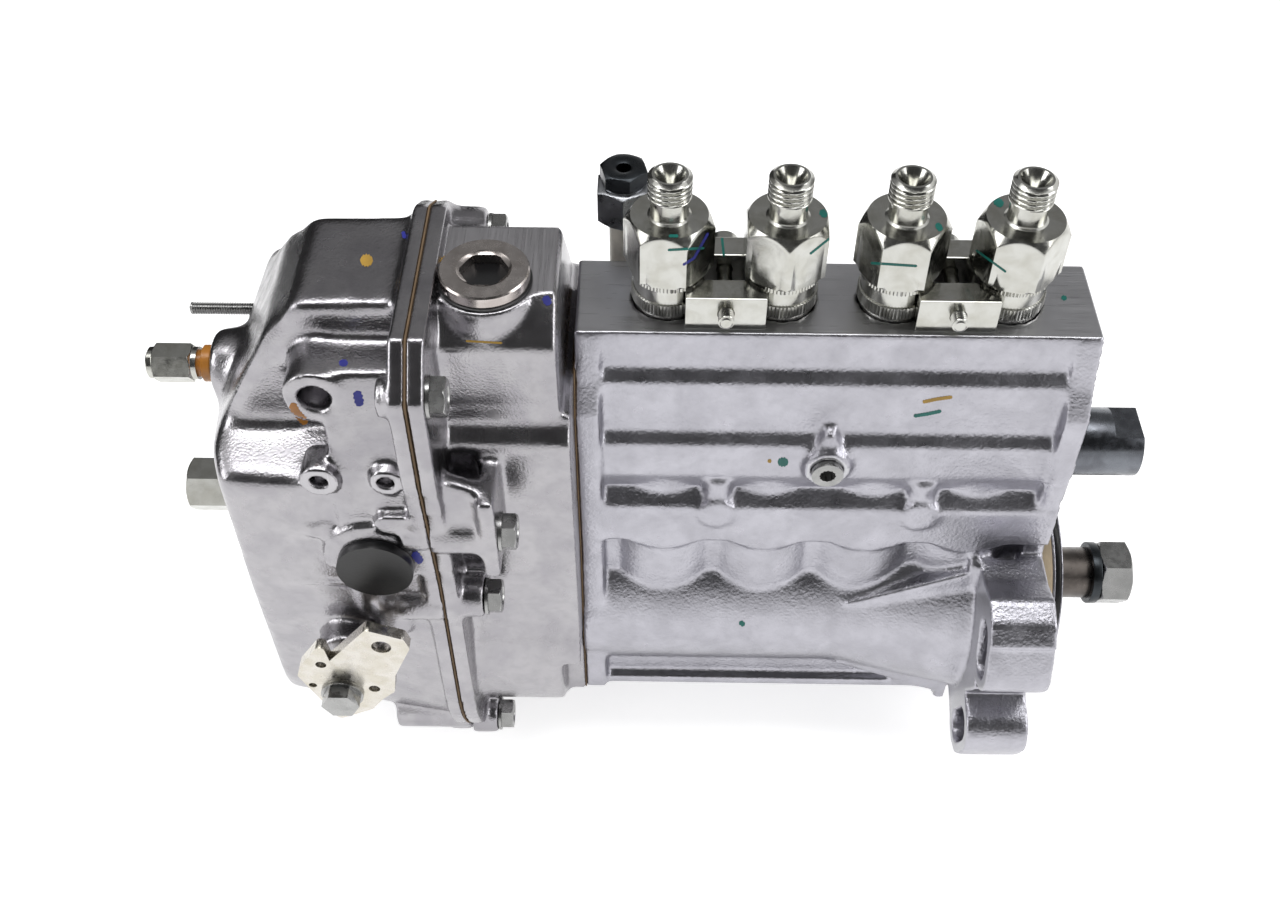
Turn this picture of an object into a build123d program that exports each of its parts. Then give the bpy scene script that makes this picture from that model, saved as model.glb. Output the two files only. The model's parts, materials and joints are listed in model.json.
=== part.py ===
from build123d import *
from math import degrees, pi
import os

# Four-element in-line diesel injection pump with a mechanical governor on its tail end.
# Millimetres. The origin is on the camshaft axis, in the mounting face of the drive flange.
# +X points out of the drive end, +Z up along the pumping elements, -Y to the control rack side.

os.makedirs("parts", exist_ok=True)

# ---------------------------------------------------------------- clearances
slip = 0.05            # radial gap of running and locating fits
gap = 0.3              # gap between neighbours that move past each other
gasket_thickness = 0.5

# ---------------------------------------------------------------- pumping elements
element_count = 4
element_pitch = 32.0
drive_margin = 25.7    # mounting face to the first element
tail_margin = 26.0     # last element to the governor joint
deck_z = 126.0         # top face of the pump housing above the camshaft axis
deck_half = 15.8       # half width of the top face
head_bore_r = 9.95     # bore for the barrel head, delivery valve and holder
head_seat_z = 98.0     # shoulder that carries the barrel
barrel_top_z = 114.0
barrel_low_r = 7.0
barrel_low_z = 74.0
plunger_r = 4.0
plunger_top_z = 110.0

# ---------------------------------------------------------------- cam drive
cam_base_r = 13.0
cam_lift = 8.0
cam_nose_r = 5.5
cam_width = 13.0
firing_angles = (0, 90, 270, 180)   # nose of each cam, counted from the drive end
camshaft_r = 10.0
roller_r = 7.5
roller_width = 12.0
roller_pin_r = 3.0
tappet_r = 13.0
tappet_height = 21.0
bearing_r = 20.0
bearing_width = 12.0

# ---------------------------------------------------------------- control rack and sleeves
rack_y = -12.4
rack_z = 81.0
rack_r = 5.5
rack_travel = 19.0
rack_tail = 13.0       # rack beyond the cover joint
tooth_module = 0.75
sleeve_teeth = 22
sleeve_r = 8.7
sleeve_low_z = 56.0
sleeve_top_z = 88.0
sleeve_rim = 13.0      # width of the toothed rim
vane_z = 58.0

# ---------------------------------------------------------------- pump housing casting
case_wall = 5.0
chamber_r = 26.0
end_strip = 7.0        # width of the raised strip round each end
shoulder_half = 19.4   # panel below the top flange
bulge_half = 22.9      # bulge over the control rack
recess_half = 19.6     # long recess under the rack bulge
rib_half = 24.8        # rib along the middle
rib_z = deck_z - 66.8
rib_boss_shift = (30.6, -31.7)    # from the middle of the elements
rib_boss_r = 5.7
tappet_case_r = 24.0
rail_half = 27.0
rail_z = -32.5         # underside of the bottom rail
shelf_z = 72.0         # shelf that carries the upper spring seats
shelf_thickness = 3.0
shelf_hole_r = 9.6
gallery_r = 3.5
gallery_y = 11.6
gallery_z = 104.0
guide_boss_r = 7.3
guide_boss_y = 26.0
guide_hole_r = 4.0
window_height = 34.0
window_z = 71.0
window_face_y = 25.0
feed_face_y = 36.0
inlet_shift = 13.0     # fuel inlet from the tail face
inlet_face_y = 20.5

# ---------------------------------------------------------------- drive flange and shaft end
pilot_r = 34.0
pilot_length = 9.0
flange_r = 40.2
flange_depth = 20.7
slot_circle_r = 53.5
slot_angles = (25, 155, 205, 335)
slot_width = 10.6
slot_length = 20.0
lug_width = 19.0
face_relief = 0.5          # upper end face behind the mounting face
pilot_seat = 2.0           # recess of the pilot plate in the mounting face
pilot_seat_r = 35.0
nut_step_half = 28.0
nut_step = 3.5
seal_journal_r = 9.6
shaft_end_r = 8.85
shaft_end_x = 26.3
washer_thickness = 3.0
shaft_nut_af = 20.0
shaft_nut_height = 10.7
shaft_thread_r = 6.0

# ---------------------------------------------------------------- delivery valve holders
holder_thread_r = 6.0
holder_neck_r = 5.2
holder_hex_af = 22.0
holder_ring_r = 10.5
holder_band_r = 9.8
holder_height = 42.8
holder_thread_z = 36.0
holder_hex_top = 29.6
holder_hex_base = 12.2
holder_turns = (16, 26, 0, 22)      # turn of each hexagon, counted from the drive end
valve_stem_r = 3.0
clamp_width = 22.4
clamp_height = 11.0
clamp_depth = 8.0
clamp_face_y = 13.3
clamp_screw_r = 2.2

# ---------------------------------------------------------------- governor
governor_depth = 39.0      # governor housing between its two joints
governor_top = 149.0
joint_top = 153.0          # top of the rims at the cover joint
joint_front = 60.0         # half width of the rims near their top
joint_r = 55.0             # lower half of the rims, round the camshaft
rim = 4.6                  # thickness of each rim
belly_r = 46.0
weight_room_r = 42.0
room_wall = 4.0
end_wall = 10.0            # wall between the governor room and the pump
end_gasket_z = 114.0       # top of the gasket between pump and governor
end_opening_r = 23.0
cover_depth = 70.0
cover_end_r = 42.0
cover_nose = 37.7          # flat top of the cover ends this far before its closed end
plug_y = -21.4
plug_r = 12.0
plug_pad_r = 13.8
# screws of the cover joint: place across the shaft, and height of the boss under each head
rim_screws = (
    (-53, 138, 4.6),
    (-53, 84, 19),
    (-49, 48, 12),
    (-37.5, -37.5, 9),
    (37.5, -37.5, 9),
    (49, 45, 12),
    (10, 140, 15),
)
lever_shaft_shift = 30.8   # lever shaft from the cover joint
lever_shaft_z = 28.0
lever_hole_shift = (15.0, 24.7)     # hole for the rod from the lever shaft
lever_hole_r = 2.9
# outline and small holes of the control lever, from its shaft: an arm for the rod and a notched stop arm
lever_outline = (
    (11.3, 33), (22, 28.5), (23.2, 24), (17.2, 9.7), (16, 1), (12, -3), (8, -9), (-3.2, -15),
    (-12.2, 8.9), (-10.7, 13.8), (-3.8, 24.3), (-2, 23.3), (-1.3, 17.1),
)
lever_small_holes = (((-4.2, 15), 1.6), ((-8.4, 4), 1.2), ((10, 2.5), 1.7))
ear_shift = 26.8           # holed boss on the upper corner of the cover
ear_z = 129.0
stop_boss_shifts = (28.2, 10.0)
stop_boss_z = 105.0
rubber_plug_shift = 16.8
rubber_plug_z = 72.0
capsule_z = 97.0           # idle spring capsule
torque_z = 41.0            # torque capsule
stud_y = 30.0              # speed stop stud
stud_z = 92.0
lever_shaft_r = 5.0
control_lever_y = -68.0
lever_plate = 3.5

# ---------------------------------------------------------------- governor mechanism
spindle_r = 7.5            # governor end of the camshaft
weight_pin_shift = 14.8    # flyweight pins from the tail end of the pump
weight_pin_y = 21.0
weight_arm = 11.0          # flyweight pin to the tip of its short arm
sleeve_flange_shift = 4.6  # flyweight pin to the sleeve face that the arms push
tension_pin_z = 100.0
tension_shift = 4.3        # tension lever from the cover joint
fulcrum_z = 12.0
spring_shift = 13.0        # governor spring from the tension lever

# ---------------------------------------------------------------- values worked out from these
element_x = [-(drive_margin + i * element_pitch) for i in range(element_count)]
tail_x = element_x[-1] - tail_margin
housing_length = -tail_x
mid_x = (element_x[0] + element_x[-1]) / 2
clamp_x = [(element_x[0] + element_x[1]) / 2, (element_x[2] + element_x[3]) / 2]
nose_z = cam_base_r + cam_lift
roller_z = nose_z + gap + roller_r
tappet_z = roller_z - 3.5
tappet_top = tappet_z + tappet_height
spring_seat_height = 3.7
pitch_r = tooth_module * sleeve_teeth / 2
window_length = (element_count - 1) * element_pitch + 20
slot_sweep = degrees((slot_length - slot_width) / slot_circle_r)
governor_x = tail_x - gasket_thickness
cover_joint_x = governor_x - governor_depth
cover_x = cover_joint_x - gasket_thickness
cover_end_x = cover_x - cover_depth
rib_boss_x = [mid_x + shift for shift in rib_boss_shift]
inlet_x = tail_x + inlet_shift
plug_x = governor_x - governor_depth / 2 - 2.3
lever_shaft_x = cover_x - lever_shaft_shift
lever_hole = (lever_shaft_x + lever_hole_shift[0], lever_shaft_z + lever_hole_shift[1])
ear_x = cover_x - ear_shift
stop_boss_x = [cover_x - shift for shift in stop_boss_shifts]
rubber_plug_x = cover_x - rubber_plug_shift
weight_pin_x = governor_x - weight_pin_shift
sleeve_flange_x = weight_pin_x - sleeve_flange_shift
tension_x = cover_x - tension_shift
spring_x = tension_x - spring_shift


def write(piece, label):
    """Label a finished piece and write it as its own STEP file."""
    piece.part.label = label
    export_step(piece.part, f"parts/{label}.step")


def ring(plane, outer_r, inner_r, length):
    """Plain ring on a plane, as a piece of its own."""
    with BuildPart() as made:
        with BuildSketch(plane):
            Circle(outer_r)
            Circle(inner_r, mode=Mode.SUBTRACT)
        extrude(amount=length)
    return made


# ================================================================ pump housing
with BuildPart() as pump_housing:
    # section across the elements, front half, mirrored to the back
    with BuildSketch(Plane.YZ.offset(tail_x)):
        with BuildLine():
            Polyline(
                (0, deck_z),
                (-deck_half, deck_z),
                (-deck_half, deck_z - 12.6),
                (-shoulder_half, deck_z - 16.2),
                (-shoulder_half, deck_z - 34.9),
                (-bulge_half, deck_z - 38.4),
                (-bulge_half, deck_z - 51),
                (-recess_half, deck_z - 59.5),
                (-rib_half, deck_z - 64.7),
                (-rib_half, deck_z - 69),
                (-recess_half, deck_z - 70.5),
                (-recess_half, 0),
                (0, 0),
                (0, deck_z),
            )
        make_face()
        mirror(about=Plane.YZ)
    extrude(amount=housing_length - face_relief)
    # camshaft case: a tube that flares towards the drive flange
    with BuildSketch(Plane.XZ):
        Polygon(
            (tail_x, 0),
            (tail_x, chamber_r + case_wall),
            (element_x[1] - 6, chamber_r + case_wall),
            (-flange_depth, flange_r - 1),
            (-flange_depth, 0),
            align=None,
        )
    revolve(axis=Axis.X)
    # tappet cases, and the panel across their front whose lower edge follows them
    with BuildSketch(Plane.XY):
        with Locations(*[(x, 0) for x in element_x]):
            Circle(tappet_case_r)
    extrude(amount=deck_z - 70)
    with BuildSketch(Plane.XZ.offset(recess_half)):
        with Locations((-housing_length / 2, 51)):
            Rectangle(housing_length, 12)
        with Locations(*[(x, 48) for x in element_x]):
            Ellipse(13.5, 6.5)
    extrude(amount=tappet_case_r + 0.6 - recess_half)
    # wall of the long recess, which bulges round each barrel
    with BuildSketch(Plane.XY.offset(deck_z - 66)):
        with Locations(*[(x, 4) for x in element_x]):
            Circle(recess_half + 5.6)
        with Locations((mid_x, 0)):
            Rectangle(housing_length, 80, align=(Align.CENTER, Align.MIN), mode=Mode.SUBTRACT)
    extrude(amount=15)
    # bottom rail
    with BuildSketch(Plane.YZ.offset(tail_x)):
        with Locations((0, rail_z + 6)):
            Rectangle(2 * rail_half - 6, 12)
        with Locations((0, rail_z + 2)):
            Rectangle(2 * rail_half, 4)
    extrude(amount=housing_length - flange_depth)
    # raised strip round the governor end
    with BuildSketch(Plane.YZ.offset(tail_x)):
        with BuildLine():
            Polyline(
                (0, deck_z),
                (-deck_half, deck_z),
                (-19.7, deck_z - 16),
                (-24.3, deck_z - 25),
                (-25.0, deck_z - 47),
                (-25.0, 34),
                (-29.0, 6),
                (-29.0, rail_z),
                (0, rail_z),
                (0, deck_z),
            )
        make_face()
        mirror(about=Plane.YZ)
    extrude(amount=end_strip)
    # raised strip round the drive end, down to the flange
    with BuildSketch(Plane.YZ.offset(-face_relief)):
        with BuildLine():
            Polyline(
                (0, deck_z),
                (-deck_half, deck_z),
                (-19.7, deck_z - 16),
                (-24.3, deck_z - 25),
                (-25.0, deck_z - 47),
                (-23.0, deck_z - 73),
                (-21.6, 25),
                (0, 25),
                (0, deck_z),
            )
        make_face()
        mirror(about=Plane.YZ)
    extrude(amount=-end_strip)
    # drive flange: a round disc with four lugs
    with BuildSketch(Plane.YZ):
        Circle(flange_r)
        for angle in slot_angles:
            with BuildLine(mode=Mode.PRIVATE) as lug_line:
                CenterArc((0, 0), slot_circle_r, angle - slot_sweep / 2, slot_sweep)
            SlotArc(lug_line.edges()[0], lug_width)
            with Locations(Rot(0, 0, angle) * Pos(slot_circle_r - lug_width / 2, 0)):
                Rectangle(lug_width, slot_length - slot_width + lug_width - 2)
    extrude(amount=-flange_depth)
    # shoulder behind the flange, milled back beside the fixing nuts
    with BuildSketch(Plane.YZ.offset(-flange_depth)):
        Circle(flange_r + 7)
        Rectangle(2 * nut_step_half, 4 * flange_r, mode=Mode.INTERSECT)
    extrude(amount=-nut_step)
    # gussets from the camshaft case to the flange
    with BuildSketch(Plane.XZ.offset(-nut_step_half)):
        for side in (1, -1):
            Polygon(
                (element_x[1] - 4, side * 17),
                (-flange_depth, side * 36),
                (-flange_depth, side * 12),
                align=None,
            )
    extrude(amount=2 * nut_step_half)
    # boss of the rack guide screw, with its fairing
    with BuildSketch(Plane.XZ.offset(shoulder_half)):
        with Locations((mid_x, rack_z)):
            Circle(guide_boss_r)
    extrude(amount=guide_boss_y - shoulder_half)
    with BuildSketch(Plane.XZ.offset(shoulder_half)):
        with Locations((mid_x, rack_z + 2)):
            Trapezoid(2 * guide_boss_r, 12, 66, align=(Align.CENTER, Align.MIN))
    extrude(amount=bulge_half + 1 - shoulder_half, taper=20)
    # locating bosses on the middle rib and the pilasters above them
    with BuildSketch(Plane.XZ.offset(recess_half)):
        with Locations(*[(x, rib_z) for x in rib_boss_x]):
            Circle(rib_boss_r)
    extrude(amount=rib_half + 1 - recess_half)
    with BuildSketch(Plane.XY.offset(rib_z)):
        with Locations(*[(x, -recess_half) for x in rib_boss_x]):
            Circle(rib_boss_r - 1)
    extrude(amount=13)
    # frame of the inspection window, feed pump pad and fuel inlet boss on the back
    with BuildSketch(Plane.XZ.offset(-recess_half + 1)):
        with Locations((mid_x, window_z)):
            RectangleRounded(window_length + 14, window_height + 14, 6)
    extrude(amount=-(window_face_y - recess_half + 1))
    with BuildSketch(Plane.XZ.offset(-recess_half + 1)):
        with Locations((mid_x, 0)):
            RectangleRounded(56, 44, 14)
    extrude(amount=-(feed_face_y - recess_half + 1))
    with BuildSketch(Plane.XZ.offset(-deck_half + 1)):
        with Locations((inlet_x, gallery_z)):
            Circle(9)
    extrude(amount=-(inlet_face_y - deck_half + 1))

    # seat of the pilot plate
    with BuildSketch(Plane.YZ):
        Circle(pilot_seat_r)
    extrude(amount=-pilot_seat, mode=Mode.SUBTRACT)
    # camshaft chamber, open at the drive end, and the tail bearing seat
    with BuildSketch(Plane.YZ):
        Circle(chamber_r)
    extrude(amount=tail_x + bearing_width, mode=Mode.SUBTRACT)
    with BuildSketch(Plane.YZ.offset(tail_x)):
        Circle(bearing_r + slip)
    extrude(amount=bearing_width, mode=Mode.SUBTRACT)
    # tappet bores up to the shelf, and the sleeve holes through it
    with BuildSketch(Plane.XY):
        with Locations(*[(x, 0) for x in element_x]):
            Circle(tappet_r + slip)
    extrude(amount=shelf_z, mode=Mode.SUBTRACT)
    with BuildSketch(Plane.XY.offset(shelf_z)):
        with Locations(*[(x, 0) for x in element_x]):
            Circle(shelf_hole_r)
    extrude(amount=shelf_thickness, mode=Mode.SUBTRACT)
    # chamber for the rack and the toothed sleeves
    with Locations((mid_x, -18.3, shelf_z + shelf_thickness)):
        Box(
            housing_length - 16, 26.3, 17,
            align=(Align.CENTER, Align.MIN, Align.MIN), mode=Mode.SUBTRACT,
        )
    # inspection window
    with BuildSketch(Plane.XZ.offset(-window_face_y)):
        with Locations((mid_x, window_z)):
            RectangleRounded(window_length, window_height, 4)
    extrude(amount=window_face_y - 8, mode=Mode.SUBTRACT)
    # stepped bores for barrel and holder
    with BuildSketch(Plane.XY.offset(deck_z)):
        with Locations(*[(x, 0) for x in element_x]):
            Circle(head_bore_r)
    extrude(amount=head_seat_z - deck_z, mode=Mode.SUBTRACT)
    with BuildSketch(Plane.XY.offset(deck_z)):
        with Locations(*[(x, 0) for x in element_x]):
            Circle(barrel_low_r + slip)
    extrude(amount=shelf_z + 5 - deck_z, mode=Mode.SUBTRACT)
    # fuel gallery on both sides of the barrels, and the inlet into it
    with BuildSketch(Plane.YZ.offset(-6)):
        with Locations((gallery_y, gallery_z), (-gallery_y, gallery_z)):
            Circle(gallery_r)
    extrude(amount=tail_x + 13, mode=Mode.SUBTRACT)
    with BuildSketch(Plane.XZ.offset(-inlet_face_y)):
        with Locations((inlet_x, gallery_z)):
            Circle(5)
    extrude(amount=inlet_face_y - gallery_y, mode=Mode.SUBTRACT)
    # rack bore, its wider mouth for the end cap, and the guide screw hole
    with BuildSketch(Plane.YZ):
        with Locations((rack_y, rack_z)):
            Circle(rack_r + slip)
    extrude(amount=tail_x, mode=Mode.SUBTRACT)
    with BuildSketch(Plane.YZ):
        with Locations((rack_y, rack_z)):
            Circle(8)
    extrude(amount=-8, mode=Mode.SUBTRACT)
    with BuildSketch(Plane.XZ.offset(guide_boss_y)):
        with Locations((mid_x, rack_z)):
            Circle(guide_hole_r)
    extrude(amount=-(guide_boss_y - 17), mode=Mode.SUBTRACT)
    # feed pump drive opening
    with BuildSketch(Plane.XZ.offset(-feed_face_y)):
        with Locations((mid_x, 0)):
            Circle(14)
    extrude(amount=feed_face_y - chamber_r + 4, mode=Mode.SUBTRACT)
    # arc slots in the lugs
    with BuildSketch(Plane.YZ):
        for angle in slot_angles:
            with BuildLine(mode=Mode.PRIVATE) as slot_line:
                CenterArc((0, 0), slot_circle_r, angle - slot_sweep / 2, slot_sweep)
            SlotArc(slot_line.edges()[0], slot_width)
    extrude(amount=-flange_depth, mode=Mode.SUBTRACT)

write(pump_housing, "pump_housing")

# ================================================================ pumping elements
with BuildPart() as plunger_barrels:
    for x in element_x:
        with BuildSketch(Plane.XY.offset(barrel_low_z)):
            with Locations((x, 0)):
                Circle(barrel_low_r)
        extrude(amount=head_seat_z - barrel_low_z)
        with BuildSketch(Plane.XY.offset(head_seat_z)):
            with Locations((x, 0)):
                Circle(head_bore_r - slip)
        extrude(amount=barrel_top_z - head_seat_z)
        with BuildSketch(Plane.XY.offset(barrel_low_z)):
            with Locations((x, 0)):
                Circle(plunger_r + slip)
        extrude(amount=barrel_top_z - barrel_low_z, mode=Mode.SUBTRACT)
        # fuel ports towards both galleries
        with Locations(Pos(x, 0, gallery_z) * Rot(90, 0, 0)):
            Cylinder(1.6, 2 * head_bore_r, mode=Mode.SUBTRACT)
write(plunger_barrels, "plunger_barrels")

plunger_foot_z = tappet_top + gap
for i, x in enumerate(element_x):
    with BuildPart() as plunger:
        with BuildSketch(Plane.XY.offset(plunger_foot_z)):
            with Locations((x, 0)):
                Circle(5)
        extrude(amount=2.4)
        with BuildSketch(Plane.XY.offset(plunger_foot_z)):
            with Locations((x, 0)):
                Circle(3)
        extrude(amount=vane_z - plunger_foot_z)
        with BuildSketch(Plane.XY.offset(vane_z)):
            with Locations((x, 0)):
                Rectangle(17, 3)
                Circle(plunger_r)
        extrude(amount=4)
        with BuildSketch(Plane.XY.offset(vane_z)):
            with Locations((x, 0)):
                Circle(plunger_r)
        extrude(amount=plunger_top_z - vane_z)
        # control edge: a slanting groove joined to the crown by an upright one
        with Locations(Pos(x, -plunger_r, plunger_top_z - 5) * Rot(0, 35, 0)):
            Box(9, 2.4, 2.6, mode=Mode.SUBTRACT)
        with Locations((x + 2.6, -plunger_r, plunger_top_z - 3)):
            Box(1.6, 3.0, 6.1, mode=Mode.SUBTRACT)
    write(plunger, f"plunger_{i + 1}")

# toothed sleeves that turn the plungers
tooth_angle = 360 / sleeve_teeth
for i, x in enumerate(element_x):
    with BuildPart() as sleeve:
        with BuildSketch(Plane.XY.offset(sleeve_low_z)):
            with Locations((x, 0)):
                Circle(sleeve_r)
        extrude(amount=sleeve_top_z - sleeve_low_z)
        # toothed rim, straight flanked, one tooth pointing at the rack
        with BuildSketch(Plane.XY.offset(rack_z - sleeve_rim / 2)):
            with Locations((x, 0)):
                Circle(pitch_r + tooth_module * 0.9)
        extrude(amount=sleeve_rim)
        with BuildSketch(Plane.XY.offset(rack_z - sleeve_rim / 2)):
            for turn in range(sleeve_teeth):
                with Locations(Pos(x, 0) * Rot(0, 0, (turn + 0.5) * tooth_angle - 90) * Pos(pitch_r, 0)):
                    Polygon((-0.75, -0.45), (1.2, -1.2), (1.2, 1.2), (-0.75, 0.45), align=None)
        extrude(amount=sleeve_rim, mode=Mode.SUBTRACT)
        with BuildSketch(Plane.XY.offset(sleeve_low_z)):
            with Locations((x, 0)):
                Circle(barrel_low_r + slip)
        extrude(amount=sleeve_top_z - sleeve_low_z, mode=Mode.SUBTRACT)
        # slots that take the plunger vane
        with BuildSketch(Plane.XY.offset(sleeve_low_z)):
            with Locations((x, 0)):
                Rectangle(24, 3.2)
        extrude(amount=8, mode=Mode.SUBTRACT)
    write(sleeve, f"control_sleeve_{i + 1}")

# control rack: a round bar with a group of teeth at each element
tooth_pitch = pi * tooth_module
rack_end_x = cover_joint_x - rack_tail
with BuildPart() as control_rack:
    with BuildSketch(Plane.YZ.offset(rack_end_x)):
        with Locations((rack_y, rack_z)):
            Circle(rack_r)
    extrude(amount=-rack_end_x - 11)
    # flat that carries the tooth tips
    with Locations((0, -pitch_r + 0.68, rack_z)):
        Box(
            4 * housing_length, 20, 20,
            align=(Align.CENTER, Align.MIN, Align.CENTER), mode=Mode.SUBTRACT,
        )
    with BuildSketch(Plane.XY.offset(rack_z - rack_r)):
        for x in element_x:
            for step in range(-6, 7):
                with Locations((x + step * tooth_pitch, -pitch_r)):
                    Polygon((-0.36, -0.95), (0.36, -0.95), (0.98, 0.75), (-0.98, 0.75), align=None)
    extrude(amount=2 * rack_r, mode=Mode.SUBTRACT)
    # guide slot on the front, and the fork with its pin at the governor end
    with Locations((mid_x, rack_y - rack_r, rack_z)):
        Box(rack_travel + 5, 4, 3.4, mode=Mode.SUBTRACT)
    with Locations((rack_end_x, rack_y, rack_z)):
        Box(20, 5, 12, mode=Mode.SUBTRACT)
    with Locations(Pos(rack_end_x + 4, rack_y, rack_z) * Rot(90, 0, 0)):
        Cylinder(2, 10)
write(control_rack, "control_rack")

# plunger return springs, their upper seats under the shelf and lower seats on the tappets
spring_low_z = tappet_top + spring_seat_height
spring_top_z = shelf_z - 1.5
with BuildPart() as spring_seats:
    for x in element_x:
        with BuildSketch(Plane.XY.offset(spring_top_z)):
            with Locations((x, 0)):
                Circle(12.4)
                Circle(9.4, mode=Mode.SUBTRACT)
        extrude(amount=shelf_z - spring_top_z)
        with BuildSketch(Plane.XY.offset(tappet_top)):
            with Locations((x, 0)):
                Circle(12)
        extrude(amount=spring_seat_height)
        with BuildSketch(Plane.XY.offset(tappet_top)):
            with Locations((x, 0)):
                Circle(5.3)
        extrude(amount=2.4 + 2 * gap, mode=Mode.SUBTRACT)
        with BuildSketch(Plane.XY.offset(tappet_top)):
            with Locations((x, 0)):
                Circle(3.5)
        extrude(amount=spring_seat_height, mode=Mode.SUBTRACT)
write(spring_seats, "spring_seats")


def coil(x, y, low_z, top_z, mean_r, wire_r, turns):
    """Closed and ground coil spring standing on low_z."""
    height = top_z - low_z - 2 * wire_r
    with BuildPart() as made:
        with BuildLine() as path:
            Helix(height / turns, height, mean_r)
        with BuildSketch(Plane(origin=path.line @ 0, z_dir=path.line % 0)):
            RegularPolygon(wire_r, 6)
        sweep()
    return Pos(x, y, low_z + wire_r) * made.part


with BuildPart() as plunger_springs:
    for x in element_x:
        add(coil(x, 0, spring_low_z + 0.02, spring_top_z - 0.02, 10.4, 1.0, 5))
write(plunger_springs, "plunger_springs")

# roller tappets
with BuildPart() as tappets:
    for x in element_x:
        with BuildSketch(Plane.XY.offset(tappet_z)):
            with Locations((x, 0)):
                Circle(tappet_r)
        extrude(amount=tappet_height)
        with Locations((x, 0, tappet_z)):
            Box(
                roller_width + 2 * gap, 2 * roller_r + 1, roller_r + 5,
                align=(Align.CENTER, Align.CENTER, Align.MIN), mode=Mode.SUBTRACT,
            )
        with Locations(Pos(x, 0, roller_z) * Rot(0, 90, 0)):
            Cylinder(roller_pin_r, 2 * tappet_r, mode=Mode.SUBTRACT)
        with BuildSketch(Plane.XY.offset(tappet_top)):
            with Locations((x, 0)):
                Circle(5.3)
        extrude(amount=-3, mode=Mode.SUBTRACT)
write(tappets, "tappets")

with BuildPart() as tappet_rollers:
    for x in element_x:
        with Locations(Pos(x, 0, roller_z) * Rot(0, 90, 0)):
            Cylinder(roller_r, roller_width)
            Cylinder(roller_pin_r - slip, 22)
write(tappet_rollers, "tappet_rollers")

# ================================================================ delivery valves and holders
valve_seat_z = barrel_top_z + 10
with BuildPart() as delivery_valve_bodies:
    for x in element_x:
        with BuildSketch(Plane.XY.offset(barrel_top_z)):
            with Locations((x, 0)):
                Circle(head_bore_r - slip)
        extrude(amount=3)
        with BuildSketch(Plane.XY.offset(barrel_top_z)):
            with Locations((x, 0)):
                Circle(6.5)
        extrude(amount=valve_seat_z - barrel_top_z)
        with BuildSketch(Plane.XY.offset(barrel_top_z)):
            with Locations((x, 0)):
                Circle(valve_stem_r + slip)
        extrude(amount=valve_seat_z - barrel_top_z, mode=Mode.SUBTRACT)
write(delivery_valve_bodies, "delivery_valve_bodies")

with BuildPart() as delivery_valves:
    for x in element_x:
        with BuildSketch(Plane.XY.offset(barrel_top_z + 0.5)):
            with Locations((x, 0)):
                Circle(valve_stem_r)
        extrude(amount=valve_seat_z - barrel_top_z - 0.5)
        # four guide wings below the relief collar
        with BuildSketch(Plane.XY.offset(barrel_top_z + 0.5)):
            with Locations(Pos(x, 0) * Rot(0, 0, 45)):
                with PolarLocations(valve_stem_r, 4):
                    Rectangle(2.6, 2.6)
        extrude(amount=5, mode=Mode.SUBTRACT)
        with BuildSketch(Plane.XY.offset(valve_seat_z)):
            with Locations((x, 0)):
                Circle(4.5)
        extrude(amount=2)
        with BuildSketch(Plane.XY.offset(valve_seat_z + 2)):
            with Locations((x, 0)):
                Circle(2)
        extrude(amount=4)
write(delivery_valves, "delivery_valves")

holder_base_z = barrel_top_z + 3
spring_room_z = deck_z + 20
with BuildPart() as delivery_valve_springs:
    for x in element_x:
        add(coil(x, 0, valve_seat_z + 2.02, spring_room_z - 0.02, 3.4, 0.7, 7))
write(delivery_valve_springs, "delivery_valve_springs")

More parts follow.
